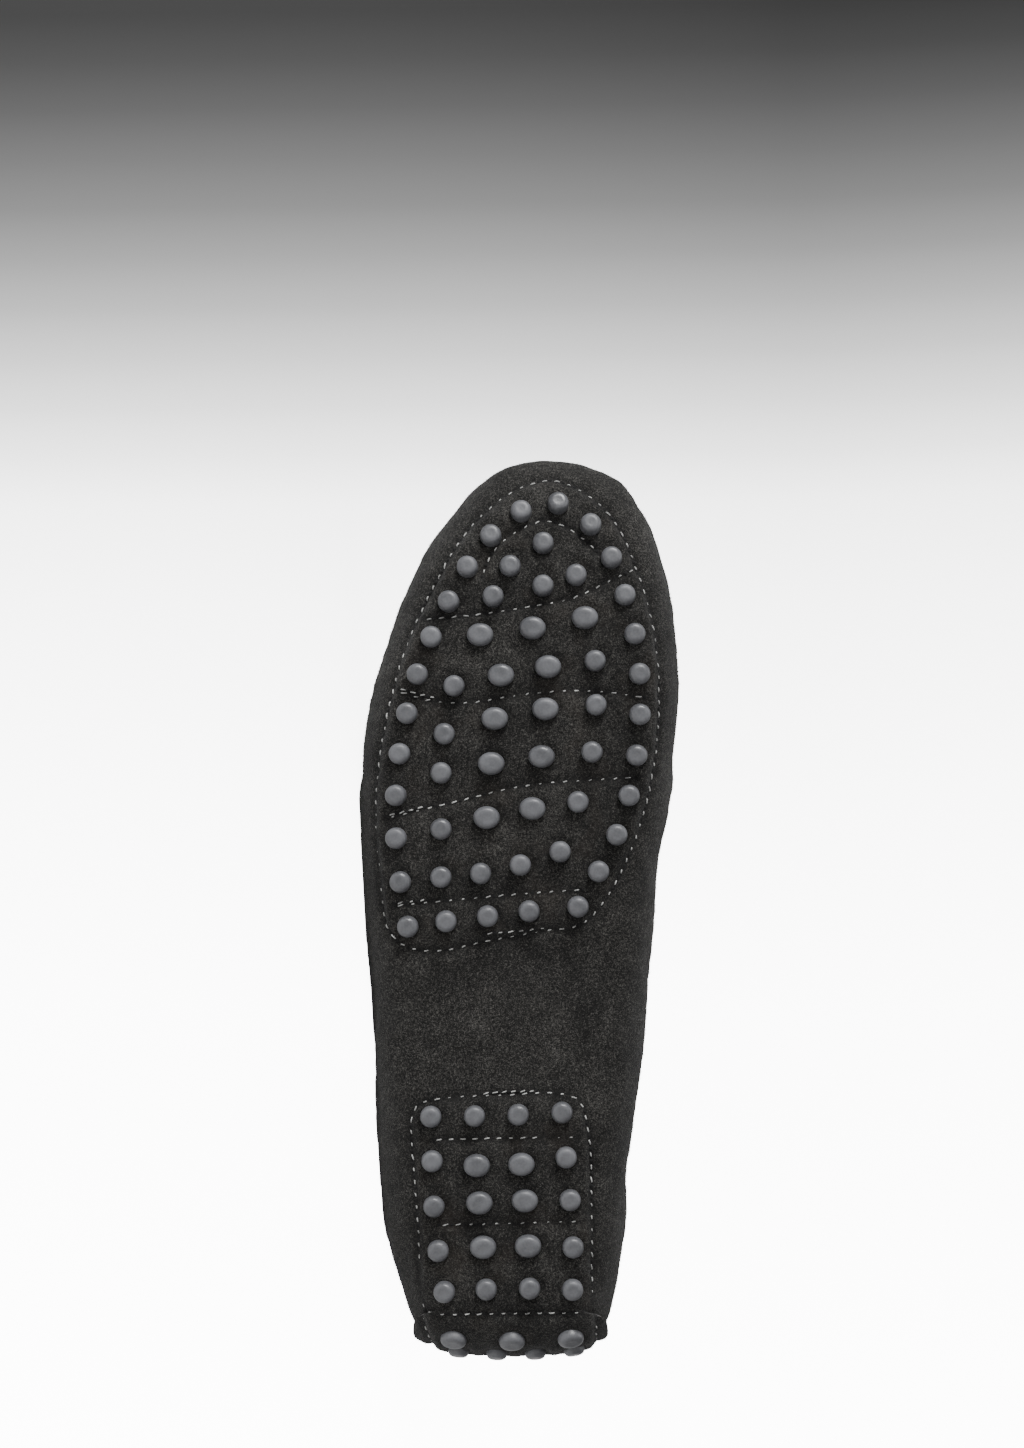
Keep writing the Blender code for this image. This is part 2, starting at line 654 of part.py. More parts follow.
def stud_rings(surface, places, rings, grow):
    """Closed prisms at the studs' places, as points and faces. rings are the heights above the outer face
    with how much narrower each is, and grow widens them all, for the holes."""
    points, faces = [], []
    for along, across, oval in places:
        middle, axis, side, ahead = stud_frame(surface, along, across)
        wide = (STUD_OVAL if oval else STUD_DIAMETER) / 2 + grow
        deep = (STUD_OVAL_DEPTH if oval else STUD_DIAMETER) / 2 + grow
        base = len(points)
        for height, narrower in rings:
            for k in range(STUD_SIDES):
                turn = (k + 0.5) * 2 * math.pi / STUD_SIDES
                out = side * (math.cos(turn) * (wide - narrower)) + ahead * (math.sin(turn) * (deep - narrower))
                points.append(middle + axis * height + out)
        for ring in range(len(rings) - 1):
            for k in range(STUD_SIDES):
                a = base + ring * STUD_SIDES + k
                b = base + ring * STUD_SIDES + (k + 1) % STUD_SIDES
                faces.append((a, b, b + STUD_SIDES, a + STUD_SIDES))
        faces.append([base + k for k in range(STUD_SIDES)])
        faces.append([base + (len(rings) - 1) * STUD_SIDES + k for k in range(STUD_SIDES)])
    return points, faces


def boolean(piece, tool, operation):
    """Joins tool to piece or cuts it away, and removes the tool."""
    change = piece.modifiers.new(operation.lower(), "BOOLEAN")
    change.operation = operation
    change.object = tool
    view = bpy.context.evaluated_depsgraph_get()
    result = bpy.data.meshes.new_from_object(piece.evaluated_get(view))
    piece.modifiers.clear()
    piece.data = result
    bpy.data.objects.remove(tool)


def plate_depths():
    """Depths of a pad's outer and inner face below the upper's outer face."""
    near = UPPER_WALL + CURVED_CLEARANCE
    return near, near + PLATE_THICKNESS


def plate_grid(surface, plan):
    """Both faces of a pad over a grid of plan places: columns, rows, 2."""
    near, far = plate_depths()
    faces = np.zeros((2, *plan.shape[:2], 3))
    for i in range(plan.shape[0]):
        for k in range(plan.shape[1]):
            point, normal = surface.place(*plan[i, k])
            faces[0, i, k] = point - normal * near
            faces[1, i, k] = point - normal * far
    return faces


def studded_pad(name, surface, plan, places, rubber, closed):
    """A rubber pad with its studs, which reach down through the upper."""
    near, far = plate_grid(surface, plan)
    pad = sheet_solid(name, near, far, rubber, closed, True, not closed)
    root = -sum(plate_depths()) / 2
    rings = [(root, 0.0), (STUD_HEIGHT, STUD_TAPER)]
    studs = mesh_object(name + "_studs", *stud_rings(surface, places, rings, 0.0))
    boolean(pad, studs, "UNION")
    return pad


def front_pad_plan():
    """Plan of the front pad: rings from its edge in to a spine down its middle, starting behind."""
    edge = curve_through(FRONT_PAD + FRONT_PAD_REAR, PAD_COLUMNS, True)
    around = np.vstack([edge[-1:], edge, edge[:1]])
    edge = np.roll(moved_in(around, PAD_MARGIN)[1:-1], 2, axis=0)
    number = np.arange(PAD_COLUMNS)
    middle = (edge + edge[-number]) / 2
    folded = np.clip(np.minimum(number, PAD_COLUMNS - number), 3, PAD_COLUMNS // 2 - 4)
    spine = middle[folded]
    return np.stack([edge + share * (spine - edge) for share in PAD_SHARES], 1)


def heel_pad_plan():
    """Plan of the heel pad: rows across it, from its front edge round the turn and up the back."""
    along = np.linspace(HEEL_PAD[0].along, HEEL_PAD[-1].along, HEEL_PAD_ROWS)
    knots = -np.array(column(HEEL_PAD, "along"))
    outer = smooth_curve(knots, column(HEEL_PAD, "outer"), -along) * BALL_WIDTH + PAD_MARGIN
    inner = smooth_curve(knots, column(HEEL_PAD, "inner"), -along) * BALL_WIDTH - PAD_MARGIN
    share = np.linspace(0, 1, HEEL_PAD_COLUMNS)
    across = outer[:, None] + share * (inner - outer)[:, None]
    return np.stack([np.broadcast_to(along[:, None] * LENGTH, across.shape), across], -1)


def make_upper(surface, suede, places):
    """The moccasin's wrap: one hollow wall round and under the foot, open at the apron and the collar, with
    a hole for each stud."""
    theta = shoe_columns()[:, None]
    level = np.array(LEVELS)[None, :]
    near = within(theta, level, np.zeros(1))
    far = within(theta, level, np.full(1, UPPER_WALL))
    upper = sheet_solid("upper", near, far, suede, True, False, True)
    rings = [(-UPPER_WALL * 2, 0.0), (UPPER_WALL, 0.0)]
    holes = mesh_object("holes", *stud_rings(surface, places, rings, CLEARANCE))
    boolean(upper, holes, "DIFFERENCE")
    return upper


def make_apron(suede):
    """The apron over the toes and instep, with a lip that stands against the upper's along the seam."""
    throat = float(angle_of(THROAT_ALONG))
    theta = (math.pi + (math.pi - throat) * bunched(SEAM_COLUMNS))[:, None]
    level = np.array(APRON_LEVELS)[None, :]
    near = apron_within(theta, level, np.zeros(1))
    far = apron_within(theta, level, np.full(1, APRON_WALL))
    return apron_solid(near, far, suede)


def apron_solid(near, far, suede):
    """Closes the apron: its columns fold at the spine, so its two end columns make one throat edge."""
    columns, rows = near.shape[:2]
    points = np.concatenate([near.reshape(-1, 3), far.reshape(-1, 3)])
    other = columns * rows
    faces = grid_faces(columns, rows, 0, False) + grid_faces(columns, rows, other, False)
    for i in range(columns - 1):
        a, b = i * rows, (i + 1) * rows
        faces.append((a, b, b + other, a + other))
    for i in (0, columns - 1):
        for k in range(rows - 1):
            a, b = i * rows + k, i * rows + k + 1
            faces.append((a, b, b + other, a + other))
    return mesh_object("apron", points, faces, suede, 2e-5)


def make_binding(leather):
    """The rolled binding round the collar and across the throat, as one closed tube."""
    throat = float(angle_of(THROAT_ALONG))
    end = throat - BINDING_CORNER
    theta = np.clip(throat * bunched(COLLAR_COLUMNS)[::-1], -end, end)
    edge = within(theta, np.full(len(theta), LIP_TOP), np.full(1, UPPER_WALL / 2))
    before = within(theta, np.full(len(theta), 3.0), np.full(1, UPPER_WALL / 2))
    rise = edge - before
    rise /= np.linalg.norm(rise, axis=1, keepdims=True)
    lift = BINDING_RADIUS + CLEARANCE
    corner = ramp(np.abs(theta), throat - 0.2, throat)[:, None]
    collar = edge + rise * (lift + CLEARANCE * (0.3 + 2.2 * corner))

    level = np.array([1.3, 1.45, 1.6, 1.8, 2.0])
    outer_side = apron_within(np.full(5, 2 * math.pi - throat), level, np.full(1, APRON_WALL / 2))
    inner_side = apron_within(np.full(5, throat), level, np.full(1, APRON_WALL / 2))
    across = np.vstack([outer_side, inner_side[::-1][1:]])
    behind = np.array([-1.0, 0.0, 0.35])
    across = across + behind / np.linalg.norm(behind) * (lift + CLEARANCE)
    path = np.vstack([collar, across])

    curve = bpy.data.curves.new("collar_binding", "CURVE")
    curve.dimensions = "3D"
    curve.bevel_depth = BINDING_RADIUS
    curve.bevel_resolution = 1
    line = curve.splines.new("POLY")
    line.points.add(len(path) - 1)
    for point, place in zip(line.points, path):
        point.co = (*place, 1)
    line.use_cyclic_u = True
    curve.materials.append(leather)
    binding = bpy.data.objects.new("collar_binding", curve)
    bpy.context.scene.collection.objects.link(binding)
    return binding


def make_tab(surface, suede, places):
    """The tab that folds up the back of the heel over the upper, with holes for the studs behind."""
    even = np.linspace(-1, 1, TAB_COLUMNS)[:, None]
    share = even * (1.25 - 0.25 * even**2)
    behind = np.linspace(0, 0.8, 81)
    halves = np.array(column(HEEL_TAB, "half")) * HEEL_WIDTH
    half = np.interp(halves, half_width(along_of(behind)), behind)[None, :]
    level = np.array(column(HEEL_TAB, "level"))[None, :]
    full = np.array(column(HEEL_TAB, "thickness"))[None, :]
    flare = np.array(column(HEEL_TAB, "flare"))[None, :]
    aside = np.abs(share) * half_width(along_of(half))
    turned = np.sign(share) * np.interp(aside, half_width(along_of(behind)), behind)
    theta, level, full = np.broadcast_arrays(turned, level, full)
    under = CURVED_CLEARANCE + TAB_FLARE * flare * share**6
    near = within(theta, level, -under)
    far = within(theta, level, -under - TAB_SKIVED - (TAB_WALL - TAB_SKIVED) * full)
    tab = sheet_solid("heel_tab", near, far, suede, False, True, True)
    rings = [(-UPPER_WALL, 0.0), (UPPER_WALL + TAB_WALL, 0.0)]
    studs = [p for p in places if p[0] < surface.turn_x]
    holes = mesh_object("tab_holes", *stud_rings(surface, studs, rings, CLEARANCE))
    boolean(tab, holes, "DIFFERENCE")
    return tab


def make_insole(sock):
    """The sock that lies on the pads, dished a little at its edge."""
    theta = shoe_columns()[:, None]
    level = np.array(INSOLE_LEVELS)[None, :]
    low = plate_depths()[1] + CURVED_CLEARANCE
    near = within(theta, level, np.full(1, low))
    far = within(theta, level, np.full(1, low + INSOLE_THICKNESS))
    return sheet_solid("insole", near, far, sock, True, False, True)


def world_points(pieces):
    """All the corners of the pieces, and the centre of mass that they balance about, in the shoe's frame."""
    view = bpy.context.evaluated_depsgraph_get()
    corners, moment, mass = [], Vector(), 0.0
    for piece in pieces:
        mesh = bpy.data.meshes.new_from_object(piece.evaluated_get(view))
        mesh.calc_loop_triangles()
        points = [v.co.copy() for v in mesh.vertices]
        density = DENSITY[piece.data.materials[0].name]
        for triangle in mesh.loop_triangles:
            a, b, c = (points[i] for i in triangle.vertices)
            volume = a.dot(b.cross(c)) / 6
            mass += volume * density
            moment += (a + b + c) / 4 * volume * density
        corners += points
        bpy.data.meshes.remove(mesh)
    return corners, moment / mass


def resting_matrix(pieces):
    """Rolls the shoe onto its outer side: of the planes that hold its centre of mass well inside three points
    of touch, the one that faces most to the outer side becomes the floor. The toe then points to -X."""
    corners, centre = world_points(pieces)
    hull = bmesh.new()
    for point in corners:
        hull.verts.new(point)
    bmesh.ops.convex_hull(hull, input=hull.verts)
    best, floor = -2.0, None
    for face in hull.faces:
        normal = face.normal
        if -normal.y <= best:
            continue
        spots = [v.co for v in face.verts]
        foot = centre + normal * (spots[0] - centre).dot(normal)
        margins = [
            (b - a).normalized().cross(foot - a).dot(normal) for a, b in zip(spots, spots[1:] + spots[:1])
        ]
        if min(margins) >= SUPPORT_MARGIN:
            best, floor = -normal.y, normal.copy()
    hull.free()
    up = -floor
    heelwards = Vector((-1, 0, 0))
    length_axis = (heelwards - up * heelwards.dot(up)).normalized()
    turn = Matrix((length_axis, up.cross(length_axis), up)).to_4x4()
    placed = [turn @ p for p in corners]
    low = Vector([min(p[k] for p in placed) for k in range(3)])
    high = Vector([max(p[k] for p in placed) for k in range(3)])
    middle = (low + high) / 2
    return Matrix.Translation((-middle.x, -middle.y, -low.z)) @ turn


def press_flat(piece, lying):
    """Presses what all but touches the floor flat onto it, as soft suede does."""
    back = lying.inverted()
    for corner in piece.data.vertices:
        place = lying @ corner.co
        if place.z < PRESSED_HEIGHT:
            place.z = 0.0
            corner.co = back @ place


def main():
    """Builds the shoe upright, then lays it on its side."""
    for old in list(bpy.data.objects):
        bpy.data.objects.remove(old)
    suede = material("suede", (0.030, 0.028, 0.027), 0.95)
    rubber = material("stud_rubber", (0.16, 0.165, 0.18), 0.55)
    sock = material("insole", (0.045, 0.042, 0.040), 0.8)
    leather = material("lining_edge", (0.026, 0.024, 0.024), 0.6)

    surface = Surface()
    front_studs = edge_studs() + row_studs(FRONT_ROWS)
    heel_studs = row_studs(HEEL_ROWS)
    pieces = [
        make_upper(surface, suede, front_studs + heel_studs),
        make_apron(suede),
        make_tab(surface, suede, heel_studs),
        make_binding(leather),
        make_insole(sock),
        studded_pad("front_pad", surface, front_pad_plan(), front_studs, rubber, True),
        studded_pad("heel_pad", surface, heel_pad_plan(), heel_studs, rubber, False),
    ]
    lying = bpy.data.objects.new("lying_shoe", None)
    bpy.context.scene.collection.objects.link(lying)
    lying.matrix_world = resting_matrix(pieces)
    press_flat(pieces[0], lying.matrix_world.copy())
    for piece in pieces:
        piece.parent = lying


main()
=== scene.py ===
"""The looks of a right driving moccasin in black suede, lying on its outer side.

The CAD nodes give the frame. Every surface is worked out again here in the shoe's own upright frame:
x forward from the heel, y to the inner side, z up from the stud tips, in metres. It is finer and has its
stitching, quilting, creases and puckers, and is then laid down with the same turn as the CAD solids.
"""

import json
import logging
import math
from collections.abc import Callable, Sequence
from dataclasses import dataclass, field
from enum import Enum

import bmesh
import bpy
import numpy as np
from mathutils import Matrix, Vector
from mathutils.bvhtree import BVHTree


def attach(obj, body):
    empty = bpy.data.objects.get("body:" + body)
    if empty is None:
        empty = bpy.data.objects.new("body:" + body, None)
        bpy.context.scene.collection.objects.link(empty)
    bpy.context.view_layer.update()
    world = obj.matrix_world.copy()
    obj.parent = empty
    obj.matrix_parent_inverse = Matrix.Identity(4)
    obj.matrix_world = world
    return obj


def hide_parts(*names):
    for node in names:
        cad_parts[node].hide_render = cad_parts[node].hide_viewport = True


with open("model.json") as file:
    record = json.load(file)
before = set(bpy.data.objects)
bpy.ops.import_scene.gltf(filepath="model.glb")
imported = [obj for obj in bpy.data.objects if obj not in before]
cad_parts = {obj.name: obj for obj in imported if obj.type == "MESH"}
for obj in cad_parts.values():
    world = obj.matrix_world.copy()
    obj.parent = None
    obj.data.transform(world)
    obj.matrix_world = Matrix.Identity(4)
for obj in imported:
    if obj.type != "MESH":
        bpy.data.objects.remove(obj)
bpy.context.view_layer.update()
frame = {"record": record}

MM = 0.001
log = logging.getLogger("moccasin")

Row = tuple[float, ...]

# the outline from heel to toe: share of the length, half width as a share of the local width, and how far the
# middle lies towards the inner side as a share of the ball width
OUTLINE: list[Row] = [
    (0.000, 0.000, 0.000),
    (0.008, 0.130, -0.001),
    (0.011, 0.240, -0.002),
    (0.017, 0.325, -0.003),
    (0.027, 0.378, -0.004),
    (0.041, 0.410, -0.005),
    (0.060, 0.432, -0.008),
    (0.106, 0.472, -0.016),
    (0.162, 0.503, -0.023),
    (0.218, 0.509, -0.024),
    (0.329, 0.509, -0.010),
    (0.469, 0.491, -0.005),
    (0.553, 0.484, -0.002),
    (0.637, 0.496, 0.015),
    (0.693, 0.499, 0.028),
    (0.748, 0.489, 0.047),
    (0.804, 0.458, 0.067),
    (0.860, 0.414, 0.086),
    (0.916, 0.349, 0.104),
    (0.944, 0.298, 0.116),
    (0.972, 0.233, 0.124),
    (0.990, 0.143, 0.124),
    (1.000, 0.000, 0.124),
]
# the top edge: share of the length, how far out it lies on the outer and the inner side, share of the height
RIM: list[Row] = [
    (0.00, 0.90, 0.90, 1.000),
    (0.05, 0.86, 0.90, 0.970),
    (0.12, 0.76, 0.95, 0.880),
    (0.22, 0.69, 0.99, 0.765),
    (0.33, 0.66, 1.00, 0.705),
    (0.42, 0.66, 0.99, 0.755),
    (0.48, 0.66, 0.93, 0.845),
    (0.52, 0.66, 0.86, 0.868),
    (0.58, 0.65, 0.775, 0.825),
    (0.66, 0.65, 0.71, 0.780),
    (0.75, 0.66, 0.69, 0.775),
    (0.85, 0.68, 0.70, 0.870),
    (0.93, 0.70, 0.72, 0.970),
    (1.00, 0.74, 0.74, 1.000),
]
# the wall: share of the length, height of the widest level, how long the wall stays upright
WALL: list[Row] = [
    (0.00, 0.330, 0.45),
    (0.06, 0.310, 0.42),
    (0.15, 0.270, 0.38),
    (0.35, 0.240, 0.36),
    (0.55, 0.240, 0.50),
    (0.75, 0.235, 0.60),
    (0.90, 0.180, 0.60),
    (1.00, 0.120, 0.60),
]
# the rounding under the foot: share of the length, parts of the heel, side and toe radius
TURN: list[Row] = [
    (0.00, 1.00, 0.00, 0.00),
    (0.03, 0.60, 0.45, 0.00),
    (0.10, 0.00, 1.00, 0.00),
    (0.80, 0.00, 1.00, 0.00),
    (0.95, 0.00, 0.35, 0.65),
    (1.00, 0.00, 0.00, 1.00),
]
# stitched lines under the foot, as shares of the length and of the ball width. Behind the heel the first
# share goes on below zero, round the turn and up the back
FRONT_EDGE: list[Row] = [
    (0.475, -0.390), (0.533, -0.418), (0.621, -0.434), (0.709, -0.402), (0.785, -0.342), (0.853, -0.257),
    (0.931, -0.114), (0.965, 0.010), (0.977, 0.120), (0.964, 0.225), (0.932, 0.323), (0.871, 0.402),
    (0.805, 0.453), (0.731, 0.469), (0.642, 0.444), (0.560, 0.371), (0.500, 0.272), (0.487, 0.238),
    (0.476, 0.089), (0.465, -0.082), (0.454, -0.253), (0.458, -0.330), (0.466, -0.368),
]
FRONT_LINES: list[list[Row]] = [
    [(0.867, -0.095), (0.890, -0.070), (0.907, -0.029), (0.923, 0.044), (0.930, 0.105), (0.921, 0.181),
     (0.910, 0.225), (0.896, 0.269)],
    [(0.820, -0.282), (0.825, -0.124), (0.834, 0.051), (0.846, 0.212), (0.859, 0.288), (0.877, 0.396)],
    [(0.741, -0.361), (0.730, -0.250), (0.728, -0.146), (0.736, 0.006), (0.741, 0.146), (0.741, 0.269),
     (0.734, 0.421)],
    [(0.601, -0.396), (0.610, -0.288), (0.621, -0.155), (0.633, -0.016), (0.640, 0.117), (0.643, 0.257),
     (0.646, 0.387)],
    [(0.504, -0.374), (0.508, -0.263), (0.514, -0.082), (0.519, 0.092), (0.522, 0.225)],
]
HEEL_EDGE: list[Row] = [
    (-0.085, -0.150), (-0.070, -0.205), (-0.040, -0.238), (0.020, -0.257), (0.048, -0.276), (0.090, -0.291),
    (0.148, -0.298), (0.206, -0.310), (0.259, -0.320), (0.272, -0.320), (0.280, -0.310), (0.287, -0.291),
    (0.290, -0.250), (0.295, -0.025), (0.295, 0.181), (0.292, 0.209), (0.282, 0.225), (0.257, 0.241),
    (0.164, 0.253), (0.069, 0.257), (0.030, 0.260), (-0.040, 0.250), (-0.070, 0.215), (-0.085, 0.160),
    (-0.087, 0.000),
]
HEEL_LINES: list[list[Row]] = [
    [(0.246, -0.250), (0.248, -0.020), (0.249, 0.206)],
    [(0.152, -0.231), (0.154, 0.000), (0.156, 0.215)],
    [(0.056, -0.276), (0.057, -0.030), (0.058, 0.222)],
]
# short runs that were sewn twice, to lock the thread
BACK_TACKS: list[list[Row]] = [
    [(0.4705, -0.090), (0.4735, 0.020), (0.4770, 0.110)],
    [(0.741, -0.361), (0.734, -0.290), (0.730, -0.240)],
    [(0.601, -0.396), (0.606, -0.330), (0.611, -0.280)],
    [(0.504, -0.374), (0.506, -0.320), (0.508, -0.270)],
    [(0.2935, -0.100), (0.2960, -0.010), (0.2965, 0.075)],
]
# rows of studs: from and to spots, how many, the bow of the middle towards the toe, and which are oval
STUD_ROWS_FRONT: list[tuple] = [
    (0.881, -0.006, 0.871, 0.203, 3, 0.031, ()),
    (0.847, -0.060, 0.859, 0.098, 2, 0.0, ()),
    (0.804, -0.101, 0.823, 0.231, 3, -0.002, (0, 1, 2)),
    (0.747, -0.184, 0.775, 0.263, 4, 0.003, (1, 2)),
    (0.694, -0.215, 0.726, 0.266, 4, 0.007, (1, 2)),
    (0.651, -0.225, 0.674, 0.253, 4, 0.003, (1, 2)),
    (0.589, -0.225, 0.619, 0.209, 4, 0.003, (1, 2)),
    (0.536, -0.225, 0.564, 0.152, 4, -0.006, ()),
    (0.487, -0.209, 0.498, 0.054, 3, 0.0, ()),
]
STUD_ROWS_HEEL: list[tuple] = [
    (0.272, -0.257, 0.277, 0.158, 4, -0.001, ()),
    (0.223, -0.253, 0.227, 0.171, 4, -0.007, (1, 2)),
    (0.173, -0.247, 0.180, 0.184, 4, 0.002, (1, 2)),
    (0.124, -0.234, 0.128, 0.193, 4, 0.003, (1, 2)),
    (0.078, -0.219, 0.081, 0.193, 4, 0.003, ()),
    (0.0305, -0.183, 0.0325, 0.183, 3, -0.0015, (0, 1, 2)),
    (0.003, -0.168, 0.003, 0.194, 4, 0.0, ()),
    (-0.053, -0.125, -0.053, 0.135, 3, 0.0, (0, 1, 2)),
]
# the front pad's edge that its outermost studs follow, and the two ends of that row
STUD_EDGE: list[Row] = [
    (0.466, -0.372), (0.533, -0.418), (0.621, -0.434), (0.709, -0.402), (0.785, -0.342), (0.853, -0.257),
    (0.931, -0.114), (0.965, 0.010), (0.977, 0.120), (0.964, 0.225), (0.932, 0.323), (0.871, 0.402),
    (0.805, 0.453), (0.731, 0.469), (0.642, 0.444), (0.560, 0.371), (0.500, 0.272),
]
# creases, in shoe millimetres: two ends, the radius of the fold, and its depth, which is below
# zero for a ridge
CREASES: list[tuple[Row, Row, float, float]] = [
    ((196, 50, 22), (176, 52, 46), 4.5, 1.1),
    ((188, 50, 20), (168, 52, 44), 4.0, -0.8),
    ((205, 52, 24), (190, 48, 44), 5.0, 0.7),
    ((188, -49, 20), (168, -44, 46), 4.5, 0.35),
    ((180, -49, 18), (160, -46, 42), 4.0, -0.2),
    ((128, 50, 16), (96, 47, 26), 3.6, 0.9),
    ((120, 50, 24), (84, 46, 34), 3.4, 0.8),
    ((112, 47, 10), (86, 44, 14), 3.2, 0.6),
    ((62, 38, 18), (40, 36, 34), 4.0, 0.8),
    ((70, -40, 20), (46, -38, 36), 4.2, 0.8),
    ((118, -46, 14), (88, -43, 26), 4.0, 0.8),
    ((140, -47, 12), (110, -45, 18), 4.0, 0.6),
    ((248, 46, 20), (238, 48, 34), 4.0, 0.5),
    ((120, -30, 4), (128, 32, 5), 9.0, 0.5),
    ((100, -28, 4), (104, 30, 5), 8.0, -0.4),
    ((190, -24, 64), (176, 32, 62), 6.0, 1.3),
    ((204, -20, 58), (194, 34, 57), 5.0, 0.9),
    ((197, -22, 62), (186, 33, 60), 4.0, -0.7),
]


def ramp(value: np.ndarray | float, start: float, end: float) -> np.ndarray:
    """A smooth step from 0 at start to 1 at end."""
    share = np.clip((np.asarray(value, float) - start) / (end - start), 0, 1)
    return share * share * (3 - 2 * share)


def smooth_curve(knots: Sequence[float], values: Sequence[float], where: np.ndarray | float) -> np.ndarray:
    """A smooth curve through given values.

    Args:
        knots: rising places of the values.
        values: the values at the knots.
        where: the places to read.

    Returns:
        The curve's values there.
    """
    knots = np.asarray(knots, float)
    values = np.asarray(values, float)
    steps = np.diff(knots)
    rises = np.diff(values) / steps
    slopes = np.empty(len(knots))
    slopes[0], slopes[-1] = rises[0], rises[-1]
    slopes[1:-1] = (rises[:-1] * steps[1:] + rises[1:] * steps[:-1]) / (steps[:-1] + steps[1:])
    where = np.clip(where, knots[0], knots[-1])
    i = np.clip(np.searchsorted(knots, where, side="right") - 1, 0, len(steps) - 1)
    h = steps[i]
    t = (where - knots[i]) / h
    return (
        values[i] * (1 + 2 * t) * (1 - t) ** 2
        + h * slopes[i] * t * (1 - t) ** 2
        + values[i + 1] * t * t * (3 - 2 * t)
        - h * slopes[i + 1] * t * t * (1 - t)
    )


def column(table: Sequence[Row], number: int) -> list[float]:
    """One column of a table."""
    return [row[number] for row in table]


def unit(vectors: np.ndarray) -> np.ndarray:
    """The vectors at length one."""
    return vectors / np.maximum(np.linalg.norm(vectors, axis=-1, keepdims=True), 1e-12)


def even_path(points: np.ndarray, pitch: float, closed: bool = False) -> np.ndarray:
    """Points at an even pitch along a smooth curve.

    Args:
        points: corners of the path, one row each.
        pitch: the wanted distance between points.
        closed: whether the path comes back to its start.

    Returns:
        The points, with the pitch rounded so that a whole number fits.
    """
    points = np.asarray(points, float)
    if closed:
        points = np.vstack([points[-2:], points, points[:3]])
    knots = np.concatenate([[0], np.cumsum(np.linalg.norm(np.diff(points, axis=0), axis=1))])
    low, high = (knots[2], knots[-3]) if closed else (0.0, knots[-1])
    where = np.linspace(low, high, 1600)
    fine = np.stack([smooth_curve(knots, points[:, k], where) for k in range(points.shape[1])], -1)
    run = np.concatenate([[0], np.cumsum(np.linalg.norm(np.diff(fine, axis=0), axis=1))])
    count = max(2, round(run[-1] / pitch) + (0 if closed else 1))
    even = np.linspace(0, run[-1], count, endpoint=not closed)
    return np.stack([np.interp(even, run, fine[:, k]) for k in range(points.shape[1])], -1)


def distance_to(spots: np.ndarray, path: np.ndarray, closed: bool = False) -> np.ndarray:
    """How far each spot in plan lies from a path.

    Args:
        spots: plan places, one row each.
        path: corners of the path.
        closed: whether the path comes back to its start.

    Returns:
        One distance for each spot.
    """
    ends = np.roll(path, -1, axis=0) if closed else path[1:]
    starts = path if closed else path[:-1]
    best = np.full(len(spots), 1e9)
    for a, b in zip(starts, ends):
        way = b - a
        share = np.clip(((spots - a) @ way) / max(way @ way, 1e-18), 0, 1)
        best = np.minimum(best, np.linalg.norm(spots - a - share[:, None] * way, axis=1))
    return best


def inside(spots: np.ndarray, path: np.ndarray) -> np.ndarray:
    """Whether each spot in plan lies inside a closed path."""
    found = np.zeros(len(spots), bool)
    for a, b in zip(path, np.roll(path, -1, axis=0)):
        crosses = (a[1] > spots[:, 1]) != (b[1] > spots[:, 1])
        rise = b[1] - a[1] if abs(b[1] - a[1]) > 1e-12 else 1e-12
        found ^= crosses & (spots[:, 0] < (b[0] - a[0]) * (spots[:, 1] - a[1]) / rise + a[0])
    return found


class Finish(Enum):
    """The finishes of the shoe, by what they cover."""

    SUEDE = "suede"
    RAW_EDGE = "raw_edge"
    LINING = "lining"
    BINDING = "binding"
    SOCK = "sock"
    RUBBER = "rubber"
    THREAD = "thread"
    # near black: painted shade in the needle holes, and the apron's dark thread
    NEEDLE_HOLE = "needle_hole"


